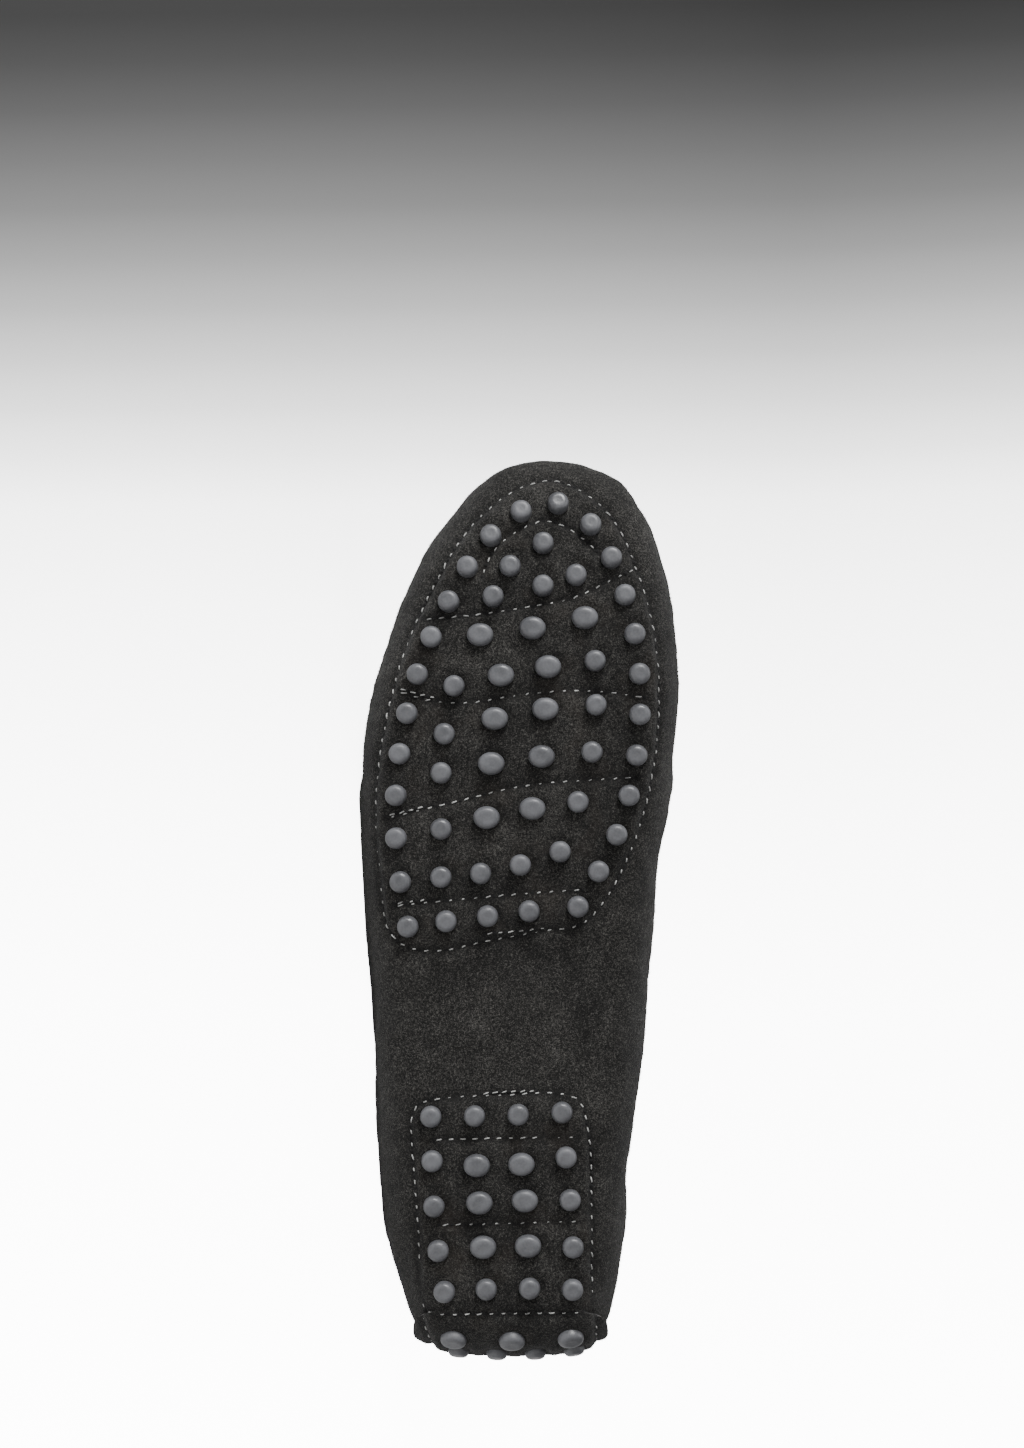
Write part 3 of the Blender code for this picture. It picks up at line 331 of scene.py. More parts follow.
@dataclass
class Last:
    """The shape of the shoe: its driving sizes, in metres, and the surfaces that follow from them."""

    length: float = 290 * MM
    ball_width: float = 101 * MM
    heel_width: float = 78 * MM
    heel_height: float = 66 * MM
    instep_height: float = 80 * MM
    toe_seam_height: float = 37 * MM
    toe_spring: float = 12 * MM
    arch_lift: float = 3 * MM
    throat_along: float = 0.50
    heel_turn: float = 18 * MM
    side_turn: float = 14 * MM
    toe_turn: float = 20 * MM
    spine_heel: float = 0.135
    spine_toe: float = 0.80
    seam_ridge: float = 3.0 * MM
    seam_gap: float = 0.3 * MM
    collar_edge: float = 0.8 * MM
    throat_reach: float = 7 * MM
    apron_crown: float = 7.5 * MM
    upper_wall: float = 1.8 * MM
    apron_wall: float = 1.6 * MM
    tab_wall: float = 1.4 * MM
    tab_gap: float = 0.5 * MM
    stud_height: float = 4.5 * MM

    @property
    def heel_start(self) -> float:
        """Where the back of the wrap lies, as a share of the length."""
        return (self.tab_gap + self.tab_wall) / self.length

    def along_of(self, theta: np.ndarray) -> np.ndarray:
        """The share of the length at an angle round the plan: 0 at the heel, pi at the toe."""
        return self.heel_start + (1 - self.heel_start) * (1 - np.cos(theta)) / 2

    def angle_of(self, along: np.ndarray | float) -> np.ndarray:
        """The angle round the plan at a share of the length."""
        share = (np.asarray(along, float) - self.heel_start) / (1 - self.heel_start)
        return np.arccos(np.clip(1 - 2 * share, -1, 1))

    def local_height(self, along: np.ndarray) -> np.ndarray:
        """The height that the top edge's shares refer to."""
        rear = self.heel_height + (self.instep_height - self.heel_height) * ramp(along, 0, self.throat_along)
        return rear + (self.toe_seam_height - self.instep_height) * ramp(along, self.throat_along, 1)

    def half_width(self, along: np.ndarray) -> np.ndarray:
        """Half the greatest width at a share of the length."""
        share = smooth_curve(self.angle_of(column(OUTLINE, 0)), column(OUTLINE, 1), self.angle_of(along))
        return share * (self.heel_width + (self.ball_width - self.heel_width) * ramp(along, 0.15, 0.65))

    def centre_line(self, along: np.ndarray) -> np.ndarray:
        """How far the middle of the plan lies towards the inner side."""
        return smooth_curve(column(OUTLINE, 0), column(OUTLINE, 2), along) * self.ball_width

    def bottom_height(self, x: np.ndarray, y: np.ndarray) -> np.ndarray:
        """Height of the leather under the foot."""
        along = np.clip(x / self.length, 0, 1)
        spring = self.toe_spring * np.clip((along - 0.74) / 0.26, 0, 1) ** 2.2
        side = np.clip((y - self.centre_line(along)) / self.ball_width * 2, -1, 1)
        arch = self.arch_lift * ramp(along, 0.26, 0.38) * (1 - ramp(along, 0.38, 0.52)) * (0.6 + 0.4 * side)
        return self.stud_height + spring + arch

    def plan_ray(self, theta: np.ndarray) -> tuple[np.ndarray, ...]:
        """The spine point and outline point that a column joins in plan, with its share and its side."""
        along = self.along_of(theta)
        inner = np.where(np.sin(theta) >= 0, 1.0, -1.0)
        spine = np.clip(along, self.spine_heel, self.spine_toe)
        edge_y = self.centre_line(along) + inner * self.half_width(along)
        return spine * self.length, self.centre_line(spine), along * self.length, edge_y, along, inner

    def turn_size(self, along: np.ndarray) -> np.ndarray:
        """How far in from the outline the bottom starts to round up."""
        theta = self.angle_of(along)
        knots = self.angle_of(column(TURN, 0))
        sizes = (self.heel_turn, self.side_turn, self.toe_turn)
        return sum(size * smooth_curve(knots, column(TURN, k + 1), theta) for k, size in enumerate(sizes))

    def widest_level(self, along: np.ndarray | float) -> np.ndarray:
        """Height of the widest level above the bottom."""
        return smooth_curve(column(WALL, 0), column(WALL, 1), along) * self.heel_height

    def rim_reach(self, along: np.ndarray, inner: np.ndarray) -> np.ndarray:
        """How far out along its ray the top edge lies."""
        on_outer = smooth_curve(column(RIM, 0), column(RIM, 1), along)
        on_inner = smooth_curve(column(RIM, 0), column(RIM, 2), along)
        apart = ramp(np.minimum(along, 1 - along), 0, 0.03)
        return on_outer + (on_inner - on_outer) * (0.5 + 0.5 * inner * apart)

    def rim_height(self, along: np.ndarray) -> np.ndarray:
        """Height of the top edge."""
        return smooth_curve(column(RIM, 0), column(RIM, 3), along) * self.local_height(along)

    def outer_face(self, theta: np.ndarray, level: np.ndarray) -> np.ndarray:
        """Outer face of the wrap.

        Args:
            theta: angles round the plan.
            level: 0 to 1 over the bottom, to 2 round the turn, to 3 up the wall, to 4 over the lip.

        Returns:
            The points, in the shoe's frame.
        """
        theta, level = np.broadcast_arrays(np.asarray(theta, float), np.asarray(level, float))
        spine_x, spine_y, edge_x, edge_y, along, inner = self.plan_ray(theta)
        reach = np.hypot(edge_x - spine_x, edge_y - spine_y)
        flat = 1 - self.turn_size(along) / reach
        turn = np.clip(level - 1, 0, 1) * math.pi / 2
        share = np.where(level < 1, level * flat, flat + (1 - flat) * np.sin(turn))
        x = spine_x + share * (edge_x - spine_x)
        y = spine_y + share * (edge_y - spine_y)
        rise = self.widest_level(along)
        z = self.bottom_height(x, y) + rise * (1 - np.cos(turn))
        up = np.clip(level - 2, 0, 1)
        start_z = self.bottom_height(edge_x, edge_y) + rise
        top_share, top_z = self.rim_reach(along, inner), self.rim_height(along)
        knee_share = 0.97 + 0.03 * np.clip(1 - top_share, 0, 0.2) / 0.2
        knee_z = start_z + smooth_curve(column(WALL, 0), column(WALL, 2), along) * (top_z - start_z)
        wall_share = (1 - up) ** 2 + 2 * up * (1 - up) * knee_share + up**2 * top_share
        wall_z = (1 - up) ** 2 * start_z + 2 * up * (1 - up) * knee_z + up**2 * top_z
        on_wall = level > 2
        x = np.where(on_wall, spine_x + wall_share * (edge_x - spine_x), x)
        y = np.where(on_wall, spine_y + wall_share * (edge_y - spine_y), y)
        z = np.where(on_wall, wall_z, z)
        lip = np.clip(level - 3, 0, 1)[..., None]
        seam = self.seam_share(along)[..., None]
        shift = top_share - knee_share
        lean = unit(np.stack([shift * (edge_x - spine_x), shift * (edge_y - spine_y), top_z - knee_z], -1))
        ridge = self.seam_ridge * np.array([0.0, 0.0, 1.0])
        return np.stack([x, y, z], -1) + lip * (seam * ridge + (1 - seam) * self.collar_edge * lean)

    def seam_share(self, along: np.ndarray) -> np.ndarray:
        """1 where the top edge is the apron seam, 0 where it is the collar."""
        return ramp(along, self.throat_along, self.throat_along + 0.04)

    def outer_normal(self, theta: np.ndarray, level: np.ndarray) -> np.ndarray:
        """Normals of the outer face. Over the bottom they come from its height alone."""
        theta, level = np.broadcast_arrays(np.asarray(theta, float), np.asarray(level, float))
        normal = outward(self.outer_face, theta, level, 0.0, 4.0)
        place = self.outer_face(theta, level)
        x, y, step = place[..., 0], place[..., 1], 1e-4
        slope_x = (self.bottom_height(x + step, y) - self.bottom_height(x - step, y)) / step / 2
        slope_y = (self.bottom_height(x, y + step) - self.bottom_height(x, y - step)) / step / 2
        beneath = unit(np.stack([slope_x, slope_y, -np.ones_like(slope_x)], -1))
        return np.where((level <= 1)[..., None], beneath, normal)

    def within(self, theta: np.ndarray, level: np.ndarray, depth: np.ndarray | float) -> np.ndarray:
        """The outer face moved inwards by depth, or outwards where depth is negative."""
        depth = np.asarray(depth, float)[..., None]
        return self.outer_face(theta, level) - depth * self.outer_normal(theta, level)

    def crown_height(self, along: np.ndarray) -> np.ndarray:
        """Height of the apron along the spine."""
        return self.rim_height(along) + self.apron_crown

    def apron_face(self, theta: np.ndarray, level: np.ndarray) -> np.ndarray:
        """Top face of the apron.

        Args:
            theta: angles round the plan, between the two throat corners over the toe.
            level: 0 to 1 down its lip and to 2 over to the spine.

        Returns:
            The points, in the shoe's frame.
        """
        theta, level = np.broadcast_arrays(np.asarray(theta, float), np.asarray(level, float))
        spine_x, spine_y, _, _, along, _ = self.plan_ray(theta)
        top = np.full_like(theta, 3.0)
        rim = self.outer_face(theta, top)
        tangent = self.outer_face(theta + 1e-4, top) - self.outer_face(theta - 1e-4, top)
        ray = np.stack([spine_x - rim[..., 0], spine_y - rim[..., 1]], -1)
        span = np.linalg.norm(ray, axis=-1)
        square = np.abs(ray[..., 0] * tangent[..., 1] - ray[..., 1] * tangent[..., 0])
        square /= span * np.hypot(tangent[..., 0], tangent[..., 1])
        inset = (self.upper_wall + self.seam_gap + self.apron_wall) / square
        over = np.clip(level - 1, 0, 1)
        share = (inset + over * (span - inset)) / span
        seam = self.seam_share(along)
        lip = np.clip(1 - level, 0, 1) * (self.seam_ridge * seam + self.collar_edge * (1 - seam))
        crown = self.crown_height(spine_x / self.length)
        z = rim[..., 2] + (crown - rim[..., 2]) * (1 - (1 - over) ** 2) + lip
        reach = 1 - ramp(along, self.throat_along, self.throat_along + 0.09)
        back = self.throat_reach * over * (2 - over) * reach
        x = rim[..., 0] + share * ray[..., 0] - back
        y = rim[..., 1] + share * ray[..., 1]
        return np.stack([x, y, z + 0.25 * back], -1)

    def apron_normal(self, theta: np.ndarray, level: np.ndarray) -> np.ndarray:
        """Normals of the apron. Along the spine they come from the crown alone."""
        theta, level = np.broadcast_arrays(np.asarray(theta, float), np.asarray(level, float))
        normal = outward(self.apron_face, theta, np.minimum(level, 1.97), 1e-6, 2.0)
        spine = np.clip(self.along_of(theta), self.spine_heel, self.spine_toe)
        slope = (self.crown_height(spine + 1e-4) - self.crown_height(spine - 1e-4)) / (2e-4 * self.length)
        above = unit(np.stack([-slope, np.zeros_like(slope), np.ones_like(slope)], -1))
        share = ramp(level, 1.9, 2.0)[..., None]
        return unit(normal * (1 - share) + above * share)

    def sole_coordinates(self, points: np.ndarray) -> np.ndarray:
        """Where points lie on the wrap laid flat: along the foot and on round the heel's turn, and across."""
        turn_x = self.heel_start * self.length + self.heel_turn
        turn_z = self.stud_height + float(self.widest_level(0.0))
        x, y, z = points[:, 0], points[:, 1], points[:, 2]
        tilt = np.arctan2(np.maximum(turn_x - x, 0), np.maximum(turn_z - z, 1e-9))
        past = self.heel_turn * tilt + np.maximum(z - turn_z, 0)
        return np.stack([np.where(x > turn_x, x, turn_x - past), y], -1)

    def symmetric_angles(self, start: float, count: int) -> np.ndarray:
        """Angles from start to pi at an even pitch along the outline, the mean of both sides."""
        theta = np.linspace(start, math.pi, 4000)
        along = self.along_of(theta)
        steps = np.hypot(np.diff(along * self.length), np.diff(self.half_width(along)))
        steps = steps + 0.2 * np.abs(np.diff(self.centre_line(along))) + 1e-7
        run = np.concatenate([[0], np.cumsum(steps)])
        return np.interp(np.linspace(0, run[-1], count), run, theta)


def outward(face: Callable, theta: np.ndarray, level: np.ndarray, low: float, high: float) -> np.ndarray:
    """Unit normals of a face, pointing out of the shoe, by differences."""
    step = 1e-4
    round_plan = face(theta + step, level) - face(theta - step, level)
    across = face(theta, np.clip(level + step, low, high)) - face(theta, np.clip(level - step, low, high))
    return unit(np.cross(across, round_plan))


@dataclass
class Lying:
    """How the upright shoe is laid down: read back from where the CAD's mounts are."""

    ball_spot: Row = (191.79 * MM, -6.63 * MM)
    heel_spot: Row = (51.36 * MM, -10.44 * MM)
    matrix: Matrix = field(init=False)

    def __post_init__(self) -> None:
        """Works out the turn from two stud tips and the sole's direction."""
        mounts = {mount["name"]: mount for mount in frame["record"]["mounts"]}
        ball, heel = (Vector(mounts[name]["pos_m"]) for name in ("tread_ball", "tread_heel"))
        up = -Vector(mounts["tread_ball"]["axis"]).normalized()
        there = (ball - heel) - up * (ball - heel).dot(up)
        across = up.cross(there)
        run = Vector(self.ball_spot) - Vector(self.heel_spot)
        forward = (there * run.x - across * run.y).normalized()
        inner = up.cross(forward)
        turn = Matrix((forward, inner, up)).transposed()
        start = heel - turn @ Vector((*self.heel_spot, 0.0))
        self.matrix = Matrix.Translation(start) @ turn.to_4x4()

    def lay(self, points: np.ndarray) -> np.ndarray:
        """Shoe points in the row's frame."""
        turn = np.array(self.matrix)
        return points @ turn[:3, :3].T + turn[:3, 3]

    def way(self, direction: Row) -> Vector:
        """A direction of the shoe in the row's frame."""
        return self.matrix.to_3x3() @ Vector(direction)


def rest_on_floor(points: np.ndarray, soft: float = 1.5 * MM) -> np.ndarray:
    """Presses what all but touches the floor flat onto it, as soft suede does."""
    height = points[:, 2]
    pressed = np.where(height < soft, np.maximum(height - soft / 2, 0) * 2, height)
    return np.column_stack([points[:, :2], pressed])


def mend(mesh: bpy.types.Mesh, merge: float = 0.0) -> None:
    """Makes corners closer than merge one, and points all faces outwards."""
    shape = bmesh.new()
    shape.from_mesh(mesh)
    if merge:
        bmesh.ops.remove_doubles(shape, verts=shape.verts, dist=merge)
        bmesh.ops.dissolve_degenerate(shape, edges=shape.edges, dist=merge)
    bmesh.ops.recalc_face_normals(shape, faces=shape.faces)
    shape.to_mesh(mesh)
    shape.free()


def new_object(name: str, points: np.ndarray, faces: Sequence, merge: float = 0.0) -> bpy.types.Object:
    """A mesh object in the row's frame.

    Args:
        name: the piece's name.
        points: its corners, laid down already.
        faces: its faces, as corner numbers.
        merge: how close corners are that become one.

    Returns:
        The object, smooth shaded. Its faces point outwards where corners were merged.
    """
    mesh = bpy.data.meshes.new(name)
    mesh.from_pydata(points.tolist(), [], faces if isinstance(faces, list) else faces.tolist())
    if merge:
        mend(mesh, merge)
    mesh.shade_smooth()
    piece = bpy.data.objects.new(name, mesh)
    bpy.context.scene.collection.objects.link(piece)
    return piece


def grid_faces(columns: int, rows: int, start: int, closed: bool) -> np.ndarray:
    """Quads of a grid whose corner numbers run down each column first."""
    i = np.arange(columns if closed else columns - 1)[:, None]
    k = np.arange(rows - 1)[None, :]
    j = (i + 1) % columns
    a, b = start + i * rows + k, start + j * rows + k
    return np.stack([a, b, b + 1, a + 1], -1).reshape(-1, 4)


def rim_faces(near: np.ndarray, far: np.ndarray) -> np.ndarray:
    """Quads that join two edges of the same number of corners."""
    return np.stack([near[:-1], near[1:], far[1:], far[:-1]], -1)


def add_shade(piece: bpy.types.Object, name: str, values: np.ndarray) -> None:
    """Stores one number for each corner of a mesh, for its material to read."""
    made = piece.data.attributes.new(name, "FLOAT", "POINT")
    made.data.foreach_set("value", values.astype(np.float32))


def finish_piece(piece: bpy.types.Object, slot: str, *nodes: str) -> None:
    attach(piece, "root")
    if nodes:
        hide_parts(*nodes)
    log.info("%s: %d faces", piece.name, len(piece.data.polygons))


@dataclass
class Sole:
    """Everything sewn or moulded under the foot, in plan: stitched lines, pads and stud places."""

    last: Last
    stud_inset: float = 6.2 * MM
    drift: float = 40 * MM
    edge_studs: int = 24
    stitch_pitch: float = 4.0 * MM
    path_step: float = 2 * MM
    plateau: float = 0.55 * MM
    pad_slope: float = 2.5 * MM
    quilt: float = 0.55 * MM
    quilt_width: float = 5 * MM
    groove: float = 0.75 * MM
    groove_width: float = 1.1 * MM
    swell: float = 0.35 * MM
    swell_radius: float = 6.4 * MM
    swell_width: float = 1.7 * MM
    drawn_in: float = 0.55 * MM
    drawn_radius: float = 4.4 * MM

    def metres(self, rows: Sequence[Row]) -> np.ndarray:
        """A line given in shares, in metres."""
        return np.array([(a * self.last.length, b * self.last.ball_width) for a, b in rows])

    @property
    def outlines(self) -> list[np.ndarray]:
        """The stitched edges of both pads."""
        return [even_path(self.metres(rows), self.path_step, True) for rows in (FRONT_EDGE, HEEL_EDGE)]

    @property
    def cross_lines(self) -> list[np.ndarray]:
        """The stitched lines across both pads."""
        return [even_path(self.metres(rows), self.path_step) for rows in FRONT_LINES + HEEL_LINES]

    def stud_places(self, heel: bool) -> list[tuple[float, float, bool]]:
        """Where the studs of a pad stand.

        Args:
            heel: whether the heel pad is meant.

        Returns:
            Along, across and whether it is oval, for each stud.
        """
        last = self.last
        places = [] if heel else self.edge_places()
        for a, b, to_a, to_b, count, bow, ovals in STUD_ROWS_HEEL if heel else STUD_ROWS_FRONT:
            for k in range(count):
                share = k / (count - 1)
                along = a + (to_a - a) * share + bow * 4 * share * (1 - share)
                places.append((along * last.length, (b + (to_b - b) * share) * last.ball_width, k in ovals))
        return places

    def edge_places(self) -> list[tuple[float, float, bool]]:
        """The studs that follow the front pad's edge, a little wider apart on its outer side."""
        points = self.metres(STUD_EDGE)
        knots = np.concatenate([[0], np.cumsum(np.hypot(*np.diff(points, axis=0).T))])
        where = np.linspace(0, knots[-1], 2401)
        fine = np.stack([smooth_curve(knots, points[:, k], where) for k in (0, 1)], -1)
        run = np.concatenate([[0], np.cumsum(np.hypot(*np.diff(fine, axis=0).T))])
        even = np.linspace(0, run[-1], 120)
        path = np.stack([np.interp(even, run, fine[:, k]) for k in (0, 1)], -1)
        way = unit(np.gradient(path, axis=0))
        path = path + self.stud_inset * np.stack([-way[:, 1], way[:, 0]], -1)
        first, last = self.metres([(0.481, -0.330), (0.503, 0.209)])
        kept = path[path[:, 0] > max(first[0], last[0]) + self.stud_inset]
        path = np.vstack([first, kept, last])
        run = np.concatenate([[0], np.cumsum(np.hypot(*np.diff(path, axis=0).T))])
        share = np.linspace(0, 1, self.edge_studs)
        places = run[-1] * share + self.drift * share * (1 - share) ** 4
        return [(np.interp(s, run, path[:, 0]), np.interp(s, run, path[:, 1]), False) for s in places]

    def relief(self, spots: np.ndarray) -> tuple[np.ndarray, np.ndarray, np.ndarray]:
        """How far the suede under the foot stands out, pressed by the pads and drawn in by the stitches.

        Args:
            spots: places on the wrap laid flat.

        Returns:
            The height in metres, how deep in a groove each spot is, which also sets painted shade in the
            suede's colour, and how far it is on a pad, both 0 to 1.
        """
        height = np.zeros(len(spots))
        nearest = np.full(len(spots), 1e9)
        on_pad = np.zeros(len(spots))
        for outline in self.outlines:
            gap = distance_to(spots, outline, True)
            within = inside(spots, outline)
            on_pad = np.maximum(on_pad, np.where(within, ramp(gap, 0.0, self.pad_slope), 0))
            nearest = np.minimum(nearest, gap)
        for line in self.cross_lines:
            nearest = np.minimum(nearest, distance_to(spots, line))
        groove = np.exp(-((nearest / self.groove_width) ** 2))
        height += on_pad * (self.plateau + self.quilt * (1 - np.exp(-((nearest / self.quilt_width) ** 2))))
        height -= self.groove * groove
        for along, across, _ in self.stud_places(False) + self.stud_places(True):
            gap = np.hypot(spots[:, 0] - along, spots[:, 1] - across)
            height += self.swell * np.exp(-(((gap - self.swell_radius) / self.swell_width) ** 2))
            height -= self.drawn_in * np.exp(-((gap / self.drawn_radius) ** 4))
        return height, groove, on_pad


@dataclass
class Creases:
    """Folds and the uneven hand of the suede."""

    phase: float = 3.0
    chance_seed: int = 17

    def relief(self, points: np.ndarray) -> np.ndarray:
        """How far points stand out, in metres: the listed creases over a soft unevenness."""
        height = np.zeros(len(points))
        for start, end, radius, depth in CREASES:
            a, b = np.array(start) * MM, np.array(end) * MM
            way = b - a
            share = ((points - a) @ way) / (way @ way)
            near = np.linalg.norm(points - a - np.clip(share, 0, 1)[:, None] * way, axis=1)
            fade = ramp(share, -0.35, 0.3) * (1 - ramp(share, 0.7, 1.35))
            height -= depth * MM * fade * np.exp(-((near / (radius * MM)) ** 2))
        return height + self.unevenness(points)

    def unevenness(self, points: np.ndarray) -> np.ndarray:
        """Slow ripples of a few tenths of a millimetre, from waves of unlike length."""
        chance = np.random.default_rng(self.chance_seed)
        height = np.zeros(len(points))
        for size, tall, waves in ((34.0, 0.10, 5), (13.0, 0.055, 7), (6.0, 0.030, 9)):
            for _ in range(waves):
                way = unit(chance.normal(size=3))
                turn = chance.uniform(0, 2 * math.pi)
                pitch = size * chance.uniform(0.7, 1.4) * MM
                height += tall * MM * np.sin(points @ way * 2 * math.pi / pitch + turn + self.phase)
        return height


@dataclass
class Wrap:
    """The suede wrap: under the foot, up both sides and round the heel, with its lining."""

    last: Last
    lying: Lying
    sole: Sole
    creases: Creases
    columns: int = 258
    bottom_rows: int = 66
    turn_rows: int = 27
    wall_rows: int = 42
    lip_rows: int = 5
    lining_rows: int = 22
    pucker_pitch: float = 5.4 * MM
    pucker: float = 0.55 * MM

    def angles(self) -> np.ndarray:
        """Angles of all columns, the two sides mirrored."""
        half = self.last.symmetric_angles(0.0, self.columns + 1)
        return np.concatenate([half[:-1], 2 * math.pi - half[:0:-1]])

    def levels(self) -> np.ndarray:
        """Levels of all outer rows."""
        return np.concatenate([
            np.linspace(0, 1, self.bottom_rows, endpoint=False),
            1 + np.linspace(0, 1, self.turn_rows, endpoint=False),
            2 + np.linspace(0, 1, self.wall_rows, endpoint=False),
            np.linspace(3, 4, self.lip_rows),
        ])

    def seam_run(self, theta: np.ndarray) -> np.ndarray:
        """Length along the apron seam from the toe, for the puckers and their stitches to share."""
        fine = np.linspace(0, 2 * math.pi, 3001)
        top = self.last.outer_face(fine, np.full_like(fine, 3.0))
        run = np.concatenate([[0], np.cumsum(np.linalg.norm(np.diff(top, axis=0), axis=1))])
        return np.interp(theta, fine, run) - np.interp(math.pi, fine, run)

    def heel_shelter(self, theta: np.ndarray, level: np.ndarray) -> np.ndarray:
        """0 under the heel tab, where the wrap lies still, and 1 elsewhere."""
        beside = ramp(np.abs(np.angle(np.exp(1j * theta))), 0.42, 0.62)
        return 1 - (1 - beside) * ramp(level, 1.0, 1.2)

    def surface(self) -> tuple[np.ndarray, np.ndarray, np.ndarray]:
        """The outer face with its relief, and the groove and pad masks, over the grid."""
        theta, level = np.meshgrid(self.angles(), self.levels(), indexing="ij")
        flat = self.last.outer_face(theta, level)
        normal = self.last.outer_normal(theta, level)
        points = flat.reshape(-1, 3)
        bottom, groove, on_pad = self.sole.relief(self.last.sole_coordinates(points))
        shape = level.shape
        low = 1 - ramp(level, 2.2, 2.6)
        calm = self.heel_shelter(theta, level)
        height = bottom.reshape(shape) * low * calm
        wall = ramp(level, 0.2, 1.2) * (1 - ramp(level, 2.9, 3.0))
        share = (0.45 + 0.55 * wall) * calm * (1 - ramp(level, 3, 3.1))
        height += self.creases.relief(points).reshape(shape) * share
        front = ramp(self.last.along_of(theta), 0.52, 0.68)
        wave = 0.5 + 0.5 * np.cos(2 * math.pi * self.seam_run(theta) / self.pucker_pitch)
        toeward = 0.35 + 0.65 * ramp(self.last.along_of(theta), 0.60, 0.85)
        gathered = front * toeward * np.exp(-(((level - 3.05) / 0.42) ** 2)) * ramp(level, 2.1, 2.7)
        height += self.pucker * (0.5 * wave - 0.75 * (1 - wave) ** 2) * gathered
        return flat + normal * height[..., None], groove.reshape(shape) * low, on_pad.reshape(shape) * low

    def build(self, finishes: dict) -> bpy.types.Object:
        """Makes the wrap as one closed shell, suede outside and lining inside."""
        outer, groove, on_pad = self.surface()
        theta = self.angles()
        levels = np.concatenate([np.linspace(0, 1, 6), np.linspace(1.15, 3, self.lining_rows - 8), [3.5, 4]])
        grid_theta, grid_level = np.meshgrid(theta, levels, indexing="ij")
        inner = self.last.within(grid_theta, grid_level, np.full(grid_level.shape, self.last.upper_wall))
        columns, rows, inner_rows = outer.shape[0], outer.shape[1], inner.shape[1]
        points = self.lying.lay(np.concatenate([outer.reshape(-1, 3), inner.reshape(-1, 3)]))
        start = columns * rows
        ring = np.append(np.arange(columns), 0)
        edge = rim_faces(ring * rows + rows - 1, start + ring * inner_rows + inner_rows - 1)
        outside, within = grid_faces(columns, rows, 0, True), grid_faces(columns, inner_rows, start, True)
        piece = new_object("suede_wrap", rest_on_floor(points), np.concatenate([outside, edge, within]))
        lining = np.zeros(len(piece.data.polygons), int)
        lining[len(outside) + len(edge):] = 1
        piece.data.materials.append(finishes[Finish.SUEDE])
        piece.data.materials.append(finishes[Finish.LINING])
        piece.data.polygons.foreach_set("material_index", lining)
        blank = np.zeros(inner.shape[0] * inner_rows)
        # the groove mask also sets painted shade in the suede's colour
        add_shade(piece, "groove", np.concatenate([groove.reshape(-1), blank]))
        add_shade(piece, "on_pad", np.concatenate([on_pad.reshape(-1), blank]))
        mend(piece.data, 2e-6)
        piece.data.shade_smooth()
        finish_piece(piece, "suede", "upper")
        return piece


@dataclass
class Apron:
    """The plug over toes and instep, with its lip in the raised seam."""

    last: Last
    lying: Lying
    wrap: Wrap
    creases: Creases
    pucker: float = 0.16 * MM
    sewn_in: float = 0.5 * MM
    columns: int = 150
    rows: int = 60

    def build(self, finishes: dict) -> bpy.types.Object:
        """Makes the apron as one closed shell."""
        last = self.last
        throat = float(last.angle_of(last.throat_along))
        half = last.symmetric_angles(throat, self.columns + 1)
        theta = np.concatenate([half, 2 * math.pi - half[-2::-1]])
        levels = np.concatenate([np.linspace(0, 1, 6, endpoint=False), np.linspace(1, 2, self.rows)])
        grid_theta, grid_level = np.meshgrid(theta, levels, indexing="ij")
        flat, normal = last.apron_face(grid_theta, grid_level), last.apron_normal(grid_theta, grid_level)
        shape = grid_level.shape
        along = last.along_of(grid_theta)
        open_field = ramp(grid_level, 1.05, 1.4)
        height = self.creases.relief(flat.reshape(-1, 3)).reshape(shape) * open_field
        wave = np.cos(2 * math.pi * self.wrap.seam_run(grid_theta) / self.wrap.pucker_pitch)
        gathered = ramp(along, 0.54, 0.68) * np.exp(-(((grid_level - 1.06) / 0.07) ** 2))
        height += self.pucker * (wave - 1) * gathered
        height -= self.sewn_in * np.exp(-(((grid_level - 1.10) / 0.05) ** 2)) * ramp(along, 0.5, 0.56)
        near = flat + normal * height[..., None]
        far = flat - normal * last.apron_wall
        columns, rows = shape
        start = columns * rows
        ring = np.arange(columns)
        faces = [grid_faces(columns, rows, 0, False), grid_faces(columns, rows, start, False)]
        faces.append(rim_faces(ring * rows, start + ring * rows))
        for i in (0, columns - 1):
            down = i * rows + np.arange(rows)
            faces.append(rim_faces(down, start + down))
        points = self.lying.lay(np.concatenate([near.reshape(-1, 3), far.reshape(-1, 3)]))
        piece = new_object("apron_plug", points, np.concatenate(faces), 2e-5)
        piece.data.materials.append(finishes[Finish.SUEDE])
        piece.data.materials.append(finishes[Finish.LINING])
        below = -self.lying.way((0, 0, 1))
        for face in piece.data.polygons:
            face.material_index = 1 if face.normal.dot(below) > 0.45 else 0
        finish_piece(piece, "suede", "apron")
        return piece


